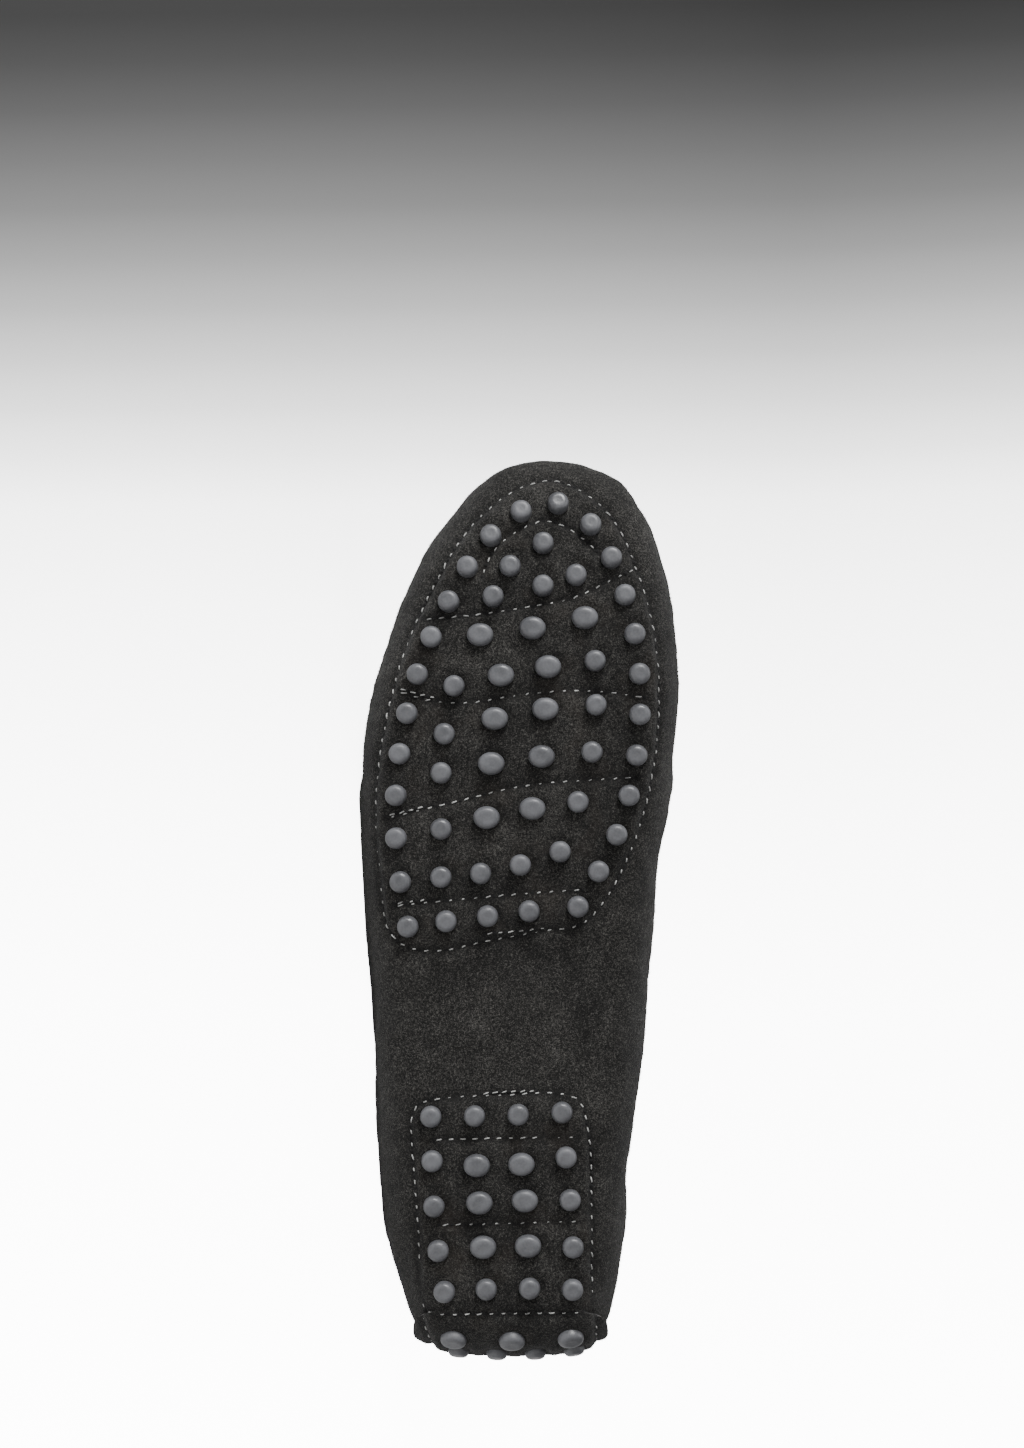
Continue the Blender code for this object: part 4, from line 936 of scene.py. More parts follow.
@dataclass
class Outsole:
    """The surface that stitches, pads and studs are set on: a fine copy of the wrap with a heel turn."""

    last: Last
    sole: Sole
    tab_start: float = 9 * MM
    tree: BVHTree = field(init=False)
    turn_x: float = field(init=False)
    turn_z: float = field(init=False)

    def __post_init__(self) -> None:
        """Builds the search tree."""
        theta = np.linspace(0, 2 * math.pi, 360, endpoint=False)
        levels = np.concatenate([np.linspace(0, 1, 24), np.linspace(1.03, 2, 30), np.linspace(2.04, 3, 24)])
        points = self.last.outer_face(theta[:, None], levels[None, :])
        faces = grid_faces(360, len(levels), 0, True)
        self.tree = BVHTree.FromPolygons(points.reshape(-1, 3).tolist(), faces.tolist())
        self.turn_x = self.last.heel_start * self.last.length + self.last.heel_turn
        self.turn_z = self.last.stud_height + float(self.last.widest_level(0.0))

    def hit(self, along: float, across: float) -> Vector:
        """The point on the smooth outer face at a place under the foot or up the back of the heel."""
        past = self.turn_x - along
        arc = self.last.heel_turn * math.pi / 2
        start, way = Vector((along, across, self.turn_z)), Vector((0, 0, -1))
        if past > 0:
            tilt = min(past / arc, 1.0) * math.pi / 2
            start = Vector((self.turn_x, across, self.turn_z + max(past - arc, 0.0)))
            way = Vector((-math.sin(tilt), 0, -math.cos(tilt)))
        return self.tree.ray_cast(start, way)[0]

    def place(self, along: float, across: float) -> tuple[Vector, Vector]:
        """The point on the smooth outer face and its outward normal."""
        step = 1.5 * MM
        ahead = self.hit(along + step, across) - self.hit(along - step, across)
        aside = self.hit(along, across + step) - self.hit(along, across - step)
        return self.hit(along, across), aside.cross(ahead).normalized()

    def tab_lift(self, along: float) -> float:
        """How much the heel tab raises what is set on it."""
        share = float(1 - ramp(along, self.turn_x - self.tab_start, self.turn_x))
        return (self.last.tab_gap + self.last.tab_wall) * share

    def stud_frame(self, along: float, across: float) -> tuple[Vector, Vector, Vector, Vector]:
        """A stud's middle on the outer face, its axis, and its two directions across."""
        point, axis = self.place(along, across)
        if along > self.turn_x:
            height = self.last.stud_height
            point, axis = self.place(along - axis.x * height, across - axis.y * height)
        side = (Vector((0, 1, 0)) - axis * axis.y).normalized()
        return point, axis, side, side.cross(axis)

    def on_relief(self, path: np.ndarray, lift: float) -> tuple[np.ndarray, np.ndarray]:
        """Points on the finished suede under a path in plan.

        Args:
            path: places along and across.
            lift: how far above the suede.

        Returns:
            The points and the normals there.
        """
        placed = [self.place(*spot) for spot in path]
        height = self.sole.relief(path)[0] + lift
        tab = np.array([self.tab_lift(spot[0]) for spot in path])
        normals = np.array([normal for _, normal in placed])
        points = np.array([point for point, _ in placed])
        return points + normals * (height + tab)[:, None], normals


@dataclass
class StudPad:
    """One moulded rubber pad with its studs."""

    last: Last
    lying: Lying
    outsole: Outsole
    sole: Sole
    round_width: float = 6.9 * MM
    oval_width: float = 8.6 * MM
    oval_depth: float = 7.3 * MM
    plate: float = 1.6 * MM
    plate_gap: float = 0.5 * MM
    plate_inset: float = 3 * MM
    plate_step: float = 9 * MM
    root: float = 3.2 * MM
    side_foot: float = 0.9 * MM
    sides: int = 28

    def model_stud(self) -> tuple[np.ndarray, list[list[int]]]:
        """One stud of unit half width, modelled by hand from a short cylinder.

        Returns:
            Its corners, z up from the leather in metres, and its faces.
        """
        bpy.ops.object.select_all(action="DESELECT")
        height = self.last.stud_height
        middle = (0, 0, (height - self.root) / 2)
        bpy.ops.mesh.primitive_cylinder_add(
            vertices=self.sides, radius=1.0, depth=height + self.root, location=middle
        )
        stud = bpy.context.object
        bpy.ops.object.transform_apply(location=True, rotation=True, scale=True)
        profile = [
            (0.985, height - 1.75 * MM), (0.955, height - 1.20 * MM), (0.905, height - 0.75 * MM),
            (0.83, height - 0.38 * MM), (0.73, height - 0.12 * MM), (0.61, height + 0.04 * MM),
            (0.47, height + 0.09 * MM), (0.39, height + 0.09 * MM), (0.31, height + 0.06 * MM),
            (0.16, height + 0.05 * MM),
        ]
        bpy.ops.object.mode_set(mode="EDIT")
        shape = bmesh.from_edit_mesh(stud.data)
        bpy.ops.mesh.select_mode(type="FACE")
        for face in shape.faces:
            face.select_set(face.normal.z > 0.9)
        bmesh.update_edit_mesh(stud.data)
        reach, level = 1.0, height
        for wide, tall in profile:
            bpy.ops.mesh.extrude_region_move(TRANSFORM_OT_translate={"value": (0, 0, tall - level)})
            share = wide / reach
            bpy.ops.transform.resize(value=(share, share, 1), center_override=(0, 0, tall))
            reach, level = wide, tall
        bpy.ops.object.mode_set(mode="OBJECT")
        corners = np.array([v.co for v in stud.data.vertices])
        low = corners[:, 2] > height - 1e-6
        first = (np.hypot(corners[:, 0], corners[:, 1]) > 0.985) & low
        corners[first, 2] = self.side_foot
        faces = [list(face.vertices) for face in stud.data.polygons]
        bpy.data.objects.remove(stud)
        return corners, faces

    def build(self, name: str, heel: bool, finishes: dict) -> bpy.types.Object:
        """Makes the plate inside the shoe, lined, and all its studs as one mesh.

        Args:
            name: the piece's name.
            heel: whether it is the heel pad.
            finishes: the materials.

        Returns:
            The finished piece.
        """
        stud, stud_faces = self.model_stud()
        plan = self.heel_plan() if heel else self.front_plan()
        points, faces = self.plate_mesh(plan, not heel)
        plate_faces = len(faces)
        for along, across, oval in self.sole.stud_places(heel):
            middle, axis, side, ahead = (np.array(v) for v in self.outsole.stud_frame(along, across))
            wide = (self.oval_width if oval else self.round_width) / 2
            deep = (self.oval_depth if oval else self.round_width) / 2
            base = sum(len(block) for block in points)
            aside = stud[:, :1] * wide * side + stud[:, 1:2] * deep * ahead
            points.append(middle + aside + stud[:, 2:] * axis)
            faces += [[base + corner for corner in face] for face in stud_faces]
        piece = new_object(name, self.lying.lay(np.concatenate(points)), faces, 1e-7)
        piece.data.materials.append(finishes[Finish.RUBBER])
        piece.data.materials.append(finishes[Finish.LINING])
        lined = np.zeros(len(piece.data.polygons), int)
        lined[:plate_faces] = 1
        piece.data.polygons.foreach_set("material_index", lined)
        finish_piece(piece, "stud_rubber", "heel_pad" if heel else "front_pad")
        return piece

    def plate_mesh(self, plan: np.ndarray, closed: bool) -> tuple[list[np.ndarray], list[list[int]]]:
        """The plate's two faces and its edge over a plan grid."""
        near = self.last.upper_wall + self.plate_gap
        layers = []
        for depth in (near, near + self.plate):
            layer = np.zeros((*plan.shape[:2], 3))
            for i in range(plan.shape[0]):
                for k in range(plan.shape[1]):
                    point, normal = self.outsole.place(*plan[i, k])
                    layer[i, k] = point - normal * depth
            layers.append(layer)
        columns, rows = plan.shape[:2]
        start = columns * rows
        faces = [grid_faces(columns, rows, 0, closed), grid_faces(columns, rows, start, closed)]
        ring = np.append(np.arange(columns), 0) if closed else np.arange(columns)
        faces.append(rim_faces(ring * rows, start + ring * rows))
        if not closed:
            faces.append(rim_faces(ring * rows + rows - 1, start + ring * rows + rows - 1))
            for i in (0, columns - 1):
                down = i * rows + np.arange(rows)
                faces.append(rim_faces(down, start + down))
        return [layer.reshape(-1, 3) for layer in layers], np.concatenate(faces).tolist()

    def front_plan(self) -> np.ndarray:
        """Plan of the front plate: rings from its edge in to its middle."""
        edge = even_path(self.sole.metres(FRONT_EDGE), self.plate_step, True)
        middle = np.array([(0.55, -0.05), (0.85, 0.11)]) * (self.last.length, self.last.ball_width)
        way = middle[1] - middle[0]
        share = np.clip(((edge - middle[0]) @ way) / (way @ way), 0, 1)
        spine = middle[0] + share[:, None] * way
        inwards = unit(spine - edge)
        edge = edge + inwards * self.plate_inset
        return np.stack([edge + part * (spine - edge) for part in (0.0, 0.3, 0.65, 1.0)], 1)

    def heel_plan(self) -> np.ndarray:
        """Plan of the heel plate: rows across it, from its front edge round the turn and up the back."""
        edge = [
            (0.292, -0.300, 0.200), (0.200, -0.300, 0.238), (0.100, -0.284, 0.249), (0.020, -0.262, 0.250),
            (-0.050, -0.225, 0.235), (-0.078, -0.170, 0.180),
        ]
        along = np.linspace(edge[0][0], edge[-1][0], 24)
        knots = -np.array(column(edge, 0))
        outer, inner = (smooth_curve(knots, column(edge, k), -along) * self.last.ball_width for k in (1, 2))
        share = np.linspace(0, 1, 10)
        across = outer[:, None] + self.plate_inset + share * (inner - outer - 2 * self.plate_inset)[:, None]
        return np.stack([np.broadcast_to(along[:, None] * self.last.length, across.shape), across], -1)


@dataclass
class HeelTab:
    """The tab that folds up the back of the heel, thin where it leaves the sole, with raw side edges."""

    last: Last
    lying: Lying
    sole: Sole
    flare: float = 1.8 * MM
    sunk: float = 1.6 * MM
    skived: float = 0.2 * MM
    free_from: float = 1.42
    columns: int = 120

    def profile(self, level: np.ndarray) -> tuple[np.ndarray, np.ndarray, np.ndarray]:
        """Half width, share of the full thickness and share of the flare at each level."""
        rows = [
            (0.80, 0.345, 0.0, 0.0), (1.00, 0.365, 0.1, 0.0), (1.20, 0.388, 0.6, 0.1),
            (1.40, 0.404, 0.9, 0.25), (1.60, 0.405, 1.0, 0.35), (1.72, 0.394, 1.0, 0.5),
            (1.86, 0.380, 1.0, 0.8), (2.00, 0.365, 1.0, 1.0), (2.40, 0.300, 1.0, 0.3),
            (2.75, 0.220, 1.0, 0.1), (2.95, 0.180, 1.0, 0.1),
        ]
        half, full, flare = (smooth_curve(column(rows, 0), column(rows, k), level) for k in (1, 2, 3))
        return half, np.clip(full, 0, 1), np.clip(flare, 0, 1)

    def build(self, finishes: dict) -> bpy.types.Object:
        """Makes the tab as one closed shell over the back of the heel."""
        last = self.last
        level = np.linspace(0.80, 2.95, 110)[None, :]
        half, full, flare = self.profile(level)
        even = np.linspace(-1, 1, self.columns)[:, None]
        share = even * (1.25 - 0.25 * even**2)
        behind = np.linspace(0, 0.8, 161)
        widths = last.half_width(last.along_of(behind))
        reach = np.interp(half * last.heel_width, widths, behind)
        aside = np.abs(share) * last.half_width(last.along_of(reach))
        theta = np.sign(share) * np.interp(aside, widths, behind)
        theta, level, full, flare = np.broadcast_arrays(theta, level, full, flare)
        sunk = self.sunk * (1 - full) ** 1.5
        under = last.tab_gap * full + self.flare * flare * share**2 * (0.4 + 0.6 * share**2) - sunk
        near = last.within(theta, level, -(under - self.skived / 2))
        flat = last.outer_face(theta, level)
        spots = last.sole_coordinates(flat.reshape(-1, 3))
        height, groove, on_pad = self.sole.relief(spots)
        height = height.reshape(level.shape) * ramp(full, 0.0, 0.2)
        thick = 1.5 * self.skived + (last.tab_wall - 3.5 * self.skived) * full
        far = last.within(theta, level, -(under + thick + height))
        columns, rows = level.shape
        start = columns * rows
        ring = np.arange(columns)
        faces = [grid_faces(columns, rows, 0, False), grid_faces(columns, rows, start, False)]
        edges = [rim_faces(ring * rows + k, start + ring * rows + k) for k in (0, rows - 1)]
        for i in (0, columns - 1):
            down = i * rows + np.arange(rows)
            edges.append(rim_faces(down, start + down))
        points = self.lying.lay(np.concatenate([near.reshape(-1, 3), far.reshape(-1, 3)]))
        faces = np.concatenate(faces + edges)
        piece = new_object("heel_tab_suede", points, faces)
        raw = np.zeros(len(faces), int)
        first_raw = int(np.searchsorted(level[0], self.free_from))
        for number in (1, 2):
            end = len(faces) - (number - 1) * (rows - 1)
            raw[end - (rows - 1) + first_raw:end] = 1
        piece.data.materials.append(finishes[Finish.SUEDE])
        piece.data.materials.append(finishes[Finish.RAW_EDGE])
        piece.data.polygons.foreach_set("material_index", raw)
        blank = np.zeros(start)
        # the groove mask also sets painted shade in the suede's colour
        add_shade(piece, "groove", np.concatenate([blank, groove]))
        add_shade(piece, "on_pad", np.concatenate([blank, on_pad]))
        mend(piece.data)
        finish_piece(piece, "suede", "heel_tab")
        return piece


@dataclass
class CollarBinding:
    """The rolled binding round the collar and across the throat."""

    last: Last
    lying: Lying
    radius: float = 2.1 * MM
    clear: float = 0.3 * MM
    step: float = 1.6 * MM
    around: int = 16

    def path(self) -> np.ndarray:
        """The middle of the roll, in the shoe's frame."""
        last = self.last
        throat = float(last.angle_of(last.throat_along))
        theta = np.linspace(throat - 0.02, 0.02 - throat, 200)
        wall = np.full(len(theta), last.upper_wall / 2)
        edge = last.within(theta, np.full(len(theta), 4.0), wall)
        rise = unit(edge - last.within(theta, np.full(len(theta), 3.0), wall))
        lift = self.radius + self.clear
        corner = ramp(np.abs(theta), throat - 0.2, throat)[:, None]
        collar = edge + rise * (lift + self.clear * (0.3 + 2.2 * corner))
        level = np.linspace(1.3, 2.0, 14)
        sides = []
        for angle in (2 * math.pi - throat, throat):
            spots = np.full(len(level), angle)
            face = last.apron_face(spots, level) - last.apron_normal(spots, level) * last.apron_wall / 2
            sides.append(face)
        across = np.vstack([sides[0], sides[1][::-1][1:]])
        across = across + unit(np.array([-1.0, 0.0, 0.35])) * (lift + self.clear)
        return even_path(np.vstack([collar[::4], across[::2]]), self.step, True)

    def build(self, finishes: dict) -> bpy.types.Object:
        """Makes the roll as a closed tube that is a little wrinkled across."""
        path = self.path()
        way = unit(np.roll(path, -1, axis=0) - np.roll(path, 1, axis=0))
        side = unit(np.cross(way, np.array([0.0, 0.0, 1.0])))
        upright = np.cross(side, way)
        turn = np.linspace(0, 2 * math.pi, self.around, endpoint=False)
        run = np.arange(len(path))
        wrinkle = 1 + 0.035 * np.sin(run * 1.9) + 0.03 * np.sin(run * 0.73 + 1.0)
        radius = self.radius * 0.98 * wrinkle[:, None, None]
        ring = np.cos(turn)[None, :, None] * side[:, None]
        ring = ring + np.sin(turn)[None, :, None] * upright[:, None] * 1.08
        points = self.lying.lay((path[:, None] + radius * ring).reshape(-1, 3))
        rows = self.around
        faces = grid_faces(len(path), rows, 0, True)
        last_row = np.append(np.arange(len(path)), 0) * rows
        seam = rim_faces(last_row + rows - 1, last_row)
        piece = new_object("collar_roll", points, np.concatenate([faces, seam]), 1e-7)
        piece.data.materials.append(finishes[Finish.BINDING])
        finish_piece(piece, "lining_edge", "collar_binding")
        return piece


@dataclass
class Sock:
    """The sock inside, dished a little at its edge."""

    last: Last
    lying: Lying
    thickness: float = 2.5 * MM
    below: float = 2.6 * MM
    dish: float = 0.35 * MM
    columns: int = 130
    rows: int = 26

    def build(self, finishes: dict) -> bpy.types.Object:
        """Makes the sock as one closed shell."""
        half = self.last.symmetric_angles(0.0, self.columns + 1)
        theta = np.concatenate([half[:-1], 2 * math.pi - half[:0:-1]])
        grid_theta, grid_level = np.meshgrid(theta, np.linspace(0, 1.3, self.rows), indexing="ij")
        low = self.last.upper_wall + self.below
        lower = self.last.within(grid_theta, grid_level, np.full(grid_level.shape, low))
        soft = self.dish * ramp(grid_level, 1.0, 1.28)
        upper = self.last.within(grid_theta, grid_level, low + self.thickness - soft)
        columns, rows = grid_level.shape
        start = columns * rows
        ring = np.append(np.arange(columns), 0)
        faces = [grid_faces(columns, rows, 0, True), grid_faces(columns, rows, start, True)]
        faces.append(rim_faces(ring * rows + rows - 1, start + ring * rows + rows - 1))
        points = self.lying.lay(np.concatenate([lower.reshape(-1, 3), upper.reshape(-1, 3)]))
        piece = new_object("sock", points, np.concatenate(faces), 2e-6)
        piece.data.materials.append(finishes[Finish.SOCK])
        finish_piece(piece, "insole", "insole")
        return piece


@dataclass
class Stitching:
    """All thread on the shoe: machine stitches round and across the pads, and the hand-sewn apron seam."""

    last: Last
    lying: Lying
    sole: Sole
    outsole: Outsole
    wrap: Wrap
    thread: float = 0.28 * MM
    stitch: float = 2.0 * MM
    dip: float = 0.62 * MM
    hand_thread: float = 0.45 * MM
    hand_step: float = 0.8 * MM
    bead_sides: int = 8

    def model_stitch(self) -> tuple[np.ndarray, list[list[int]]]:
        """One stitch of unit length along x, modelled by hand: thread that narrows at both ends.

        Returns:
            Its corners and faces.
        """
        bpy.ops.object.select_all(action="DESELECT")
        bpy.ops.mesh.primitive_cylinder_add(
            vertices=self.bead_sides, radius=1.0, depth=0.2, location=(0, 0, 0), rotation=(0, math.pi / 2, 0)
        )
        thread = bpy.context.object
        bpy.ops.object.transform_apply(location=True, rotation=True, scale=True)
        bpy.ops.object.mode_set(mode="EDIT")
        bpy.ops.mesh.select_mode(type="FACE")
        for sign in (-1, 1):
            bpy.ops.mesh.select_all(action="DESELECT")
            shape = bmesh.from_edit_mesh(thread.data)
            shape.faces.ensure_lookup_table()
            for face in shape.faces:
                face.select_set(face.normal.x * sign > 0.9 and abs(face.calc_center_median().x) > 0.05)
            bmesh.update_edit_mesh(thread.data)
            for step, shrink in ((0.14, 1.0), (0.12, 0.95), (0.08, 0.85), (0.06, 0.6)):
                bpy.ops.mesh.extrude_region_move(TRANSFORM_OT_translate={"value": (sign * step, 0, 0)})
                bpy.ops.transform.resize(value=(1, shrink, shrink))
        bpy.ops.object.mode_set(mode="OBJECT")
        corners = np.array([v.co for v in thread.data.vertices])
        faces = [list(face.vertices) for face in thread.data.polygons]
        bpy.data.objects.remove(thread)
        return corners, faces

    def runs(self) -> list[np.ndarray]:
        """Places of the stitches' ends along every sewn line under the foot."""
        pitch = self.sole.stitch_pitch
        lines = [even_path(self.sole.metres(rows), pitch, True) for rows in (FRONT_EDGE, HEEL_EDGE)]
        lines = [np.vstack([line, line[:1]]) for line in lines]
        lines += [even_path(self.sole.metres(rows), pitch) for rows in FRONT_LINES + HEEL_LINES]
        beside = (0.9 * MM, 0.3 * MM)
        lines += [even_path(self.sole.metres(rows) + beside, pitch * 0.8) for rows in BACK_TACKS]
        return lines

    def sole_stitches(self) -> tuple[list[np.ndarray], list[np.ndarray]]:
        """Middles with frames of the stitches under the foot, and the needle holes between them."""
        chance = np.random.default_rng(5)
        frames, holes = [], []
        for line in self.runs():
            points, normals = self.outsole.on_relief(line, 0.0)
            for k in range(len(line) - 1):
                middle = (line[k] + line[k + 1]) / 2
                spot, up = self.outsole.on_relief(middle[None], chance.uniform(0.12, 0.28) * MM)
                way = unit(points[k + 1] - points[k])
                side = unit(np.cross(up[0], way))
                way = unit(way + side * (0.16 + chance.normal(0, 0.10)))
                size = [self.stitch * chance.uniform(0.55, 1.12), 0, 0]
                frames.append(np.stack([spot[0], way, side, up[0], size]))
            holes += [np.stack([point, normal]) for point, normal in zip(points, normals)]
        return frames, holes

    def build(self, finishes: dict) -> None:
        """Makes the machine stitches, the painted shade of their needle holes and the apron's hand-sewn
        thread.
        """
        thread, faces = self.model_stitch()
        frames, holes = self.sole_stitches()
        points, joined = [], []
        for spot, way, side, up, size in frames:
            lengthwise = thread[:, :1] * size[0]
            dip = (thread[:, 0] * 2) ** 4 * self.dip
            body = spot + lengthwise * way + thread[:, 1:2] * self.thread * 0.8 * side
            base = len(points) * len(thread)
            points.append(body + (thread[:, 2] * self.thread * 0.75 - dip)[:, None] * up)
            joined += [[base + corner for corner in face] for face in faces]
        piece = new_object("sole_stitches", self.lying.lay(np.concatenate(points)), joined, 1e-7)
        piece.data.materials.append(finishes[Finish.THREAD])
        finish_piece(piece, "suede")
        self.needle_holes(holes, finishes)
        self.seam_thread(finishes)

    def needle_holes(self, holes: list[np.ndarray], finishes: dict) -> None:
        """Painted shade of the needle holes: one low near-black bead for each hole where the thread goes in.
        """
        around = self.bead_sides
        turn = np.linspace(0, 2 * math.pi, around, endpoint=False)
        profile = [(0.0, 0.20), (0.42, 0.16), (0.62, 0.02), (0.4, -0.5), (0.0, -0.6)]
        points, joined = [], []
        for point, normal in holes:
            side = unit(np.cross(normal, np.array([0.3, 0.9, 0.1])))
            ahead = np.cross(normal, side)
            base = sum(len(block) for block in points)
            block = [point + normal * profile[0][1] * MM]
            for wide, tall in profile[1:-1]:
                ring = np.cos(turn)[:, None] * side + np.sin(turn)[:, None] * ahead
                block += list(point + ring * wide * MM + normal * tall * MM)
            block.append(point + normal * profile[-1][1] * MM)
            points.append(np.array(block))
            lowest = base + 1 + 2 * around
            for k in range(around):
                n = (k + 1) % around
                joined.append([base, base + 1 + k, base + 1 + n])
                for ring in range(2):
                    a, b = base + 1 + ring * around + k, base + 1 + ring * around + n
                    joined.append([a, a + around, b + around, b])
                joined.append([lowest + k, lowest + around, lowest + n])
        piece = new_object("needle_holes", self.lying.lay(np.concatenate(points)), joined, 1e-8)
        piece.data.materials.append(finishes[Finish.NEEDLE_HOLE])
        finish_piece(piece, "suede")

    def seam_thread(self, finishes: dict) -> None:
        """Thick thread that crosses over the raised apron seam in each pucker's valley."""
        last = self.last
        throat = float(last.angle_of(last.throat_along + 0.035))
        theta = np.linspace(throat, 2 * math.pi - throat, 4000)
        run = self.wrap.seam_run(theta)
        pitch = self.wrap.pucker_pitch
        numbers = np.arange(math.ceil(run[0] / pitch - 0.5), math.floor(run[-1] / pitch - 0.5) + 1)
        angles = np.interp((numbers + 0.5) * pitch, run, theta)
        around = self.bead_sides
        turn = np.linspace(0, 2 * math.pi, around, endpoint=False)
        points, joined = [], []
        for angle in angles:
            outer_low = last.within(angle, 2.93, -0.25 * MM)
            outer_top = last.within(angle, 3.98, -0.35 * MM)
            inner_top = last.apron_face(angle, 0.02) + last.apron_normal(angle, 0.4) * 0.3 * MM
            inner_low = last.apron_face(angle, 1.0) + last.apron_normal(angle, 1.0) * 0.05 * MM
            top = (outer_top + inner_top) / 2 + np.array([0, 0, 0.75 * MM])
            bend = even_path(np.stack([outer_low, outer_top, top, inner_top, inner_low]), self.hand_step)
            way = unit(np.gradient(bend, axis=0))
            along = unit(last.outer_face(angle + 1e-3, 3.5) - last.outer_face(angle - 1e-3, 3.5))
            out = unit(np.cross(way, along))
            base = sum(len(block) for block in points)
            ring = np.cos(turn)[None, :, None] * along + np.sin(turn)[None, :, None] * out[:, None]
            points.append((bend[:, None] + self.hand_thread * ring).reshape(-1, 3))
            for i in range(len(bend) - 1):
                for k in range(around):
                    a, b = base + i * around + k, base + i * around + (k + 1) % around
                    joined.append([a, b, b + around, a + around])
            joined.append([base + k for k in range(around)])
            joined.append([base + (len(bend) - 1) * around + k for k in range(around)])
        piece = new_object("apron_thread", self.lying.lay(np.concatenate(points)), joined, 1e-7)
        piece.data.materials.append(finishes[Finish.NEEDLE_HOLE])
        finish_piece(piece, "suede")


@dataclass
class Nap:
    """Short fibres that stand off the suede, so that its outline is soft."""

    lying: Lying
    density: float = 1.0e6
    length: float = 1.15 * MM
    width: float = 0.11 * MM
    sunk: float = 0.08 * MM
    off_floor: float = 0.2 * MM

    def build(self, pieces: Sequence[bpy.types.Object], finishes: dict) -> None:
        """Plants fibres evenly over the suede faces of some pieces.

        Args:
            pieces: the suede pieces.
            finishes: the materials.
        """
        chance = np.random.default_rng(29)
        roots, normals = [], []
        for piece in pieces:
            mesh = piece.data
            areas = np.zeros(len(mesh.polygons))
            mesh.polygons.foreach_get("area", areas)
            index = np.zeros(len(mesh.polygons), int)
            mesh.polygons.foreach_get("material_index", index)
            areas[index != 0] = 0
            centres, ways = np.zeros(len(areas) * 3), np.zeros(len(areas) * 3)
            mesh.polygons.foreach_get("center", centres)
            mesh.polygons.foreach_get("normal", ways)
            beneath = ways.reshape(-1, 3) @ np.array(self.lying.way((0, 0, -1)))
            areas *= 1 - 0.75 * ramp(beneath, 0.80, 0.92)
            number = int(self.density * areas.sum())
            chosen = chance.choice(len(areas), number, p=areas / areas.sum())
            spread = np.sqrt(areas[chosen])[:, None] * chance.uniform(-0.4, 0.4, (number, 3))
            way = ways.reshape(-1, 3)[chosen]
            spread -= (spread * way).sum(1)[:, None] * way
            roots.append(centres.reshape(-1, 3)[chosen] + spread)
            normals.append(way)
        root, normal = np.concatenate(roots), np.concatenate(normals)
        lean = chance.normal(0, 0.75, root.shape)
        way = unit(normal + lean - (lean * normal).sum(1)[:, None] * normal * 0.6)
        side = unit(np.cross(way, chance.normal(size=root.shape)))
        long = self.length * chance.uniform(0.35, 1.0, (len(root), 1)) ** 1.5
        foot = root - normal * self.sunk
        third = np.cross(way, side)
        corners = (side, -side / 2 + third * 0.866, -side / 2 - third * 0.866)
        base = [foot + self.width / 2 * corner for corner in corners]
        points = np.stack([*base, foot + way * long], 1).reshape(-1, 3)
        start = np.arange(len(root))[:, None] * 4
        faces = np.concatenate([start + np.array(f) for f in ((0, 1, 3), (1, 2, 3), (2, 0, 3))])
        keep = points[3::4, 2] > self.off_floor
        faces = faces.reshape(3, -1, 3)[:, keep].reshape(-1, 3)
        used = np.unique(faces)
        renumber = np.zeros(len(points), int)
        renumber[used] = np.arange(len(used))
        piece = new_object("nap_fibres", points[used], renumber[faces])
        piece.data.materials.append(finishes[Finish.SUEDE])
        finish_piece(piece, "suede")


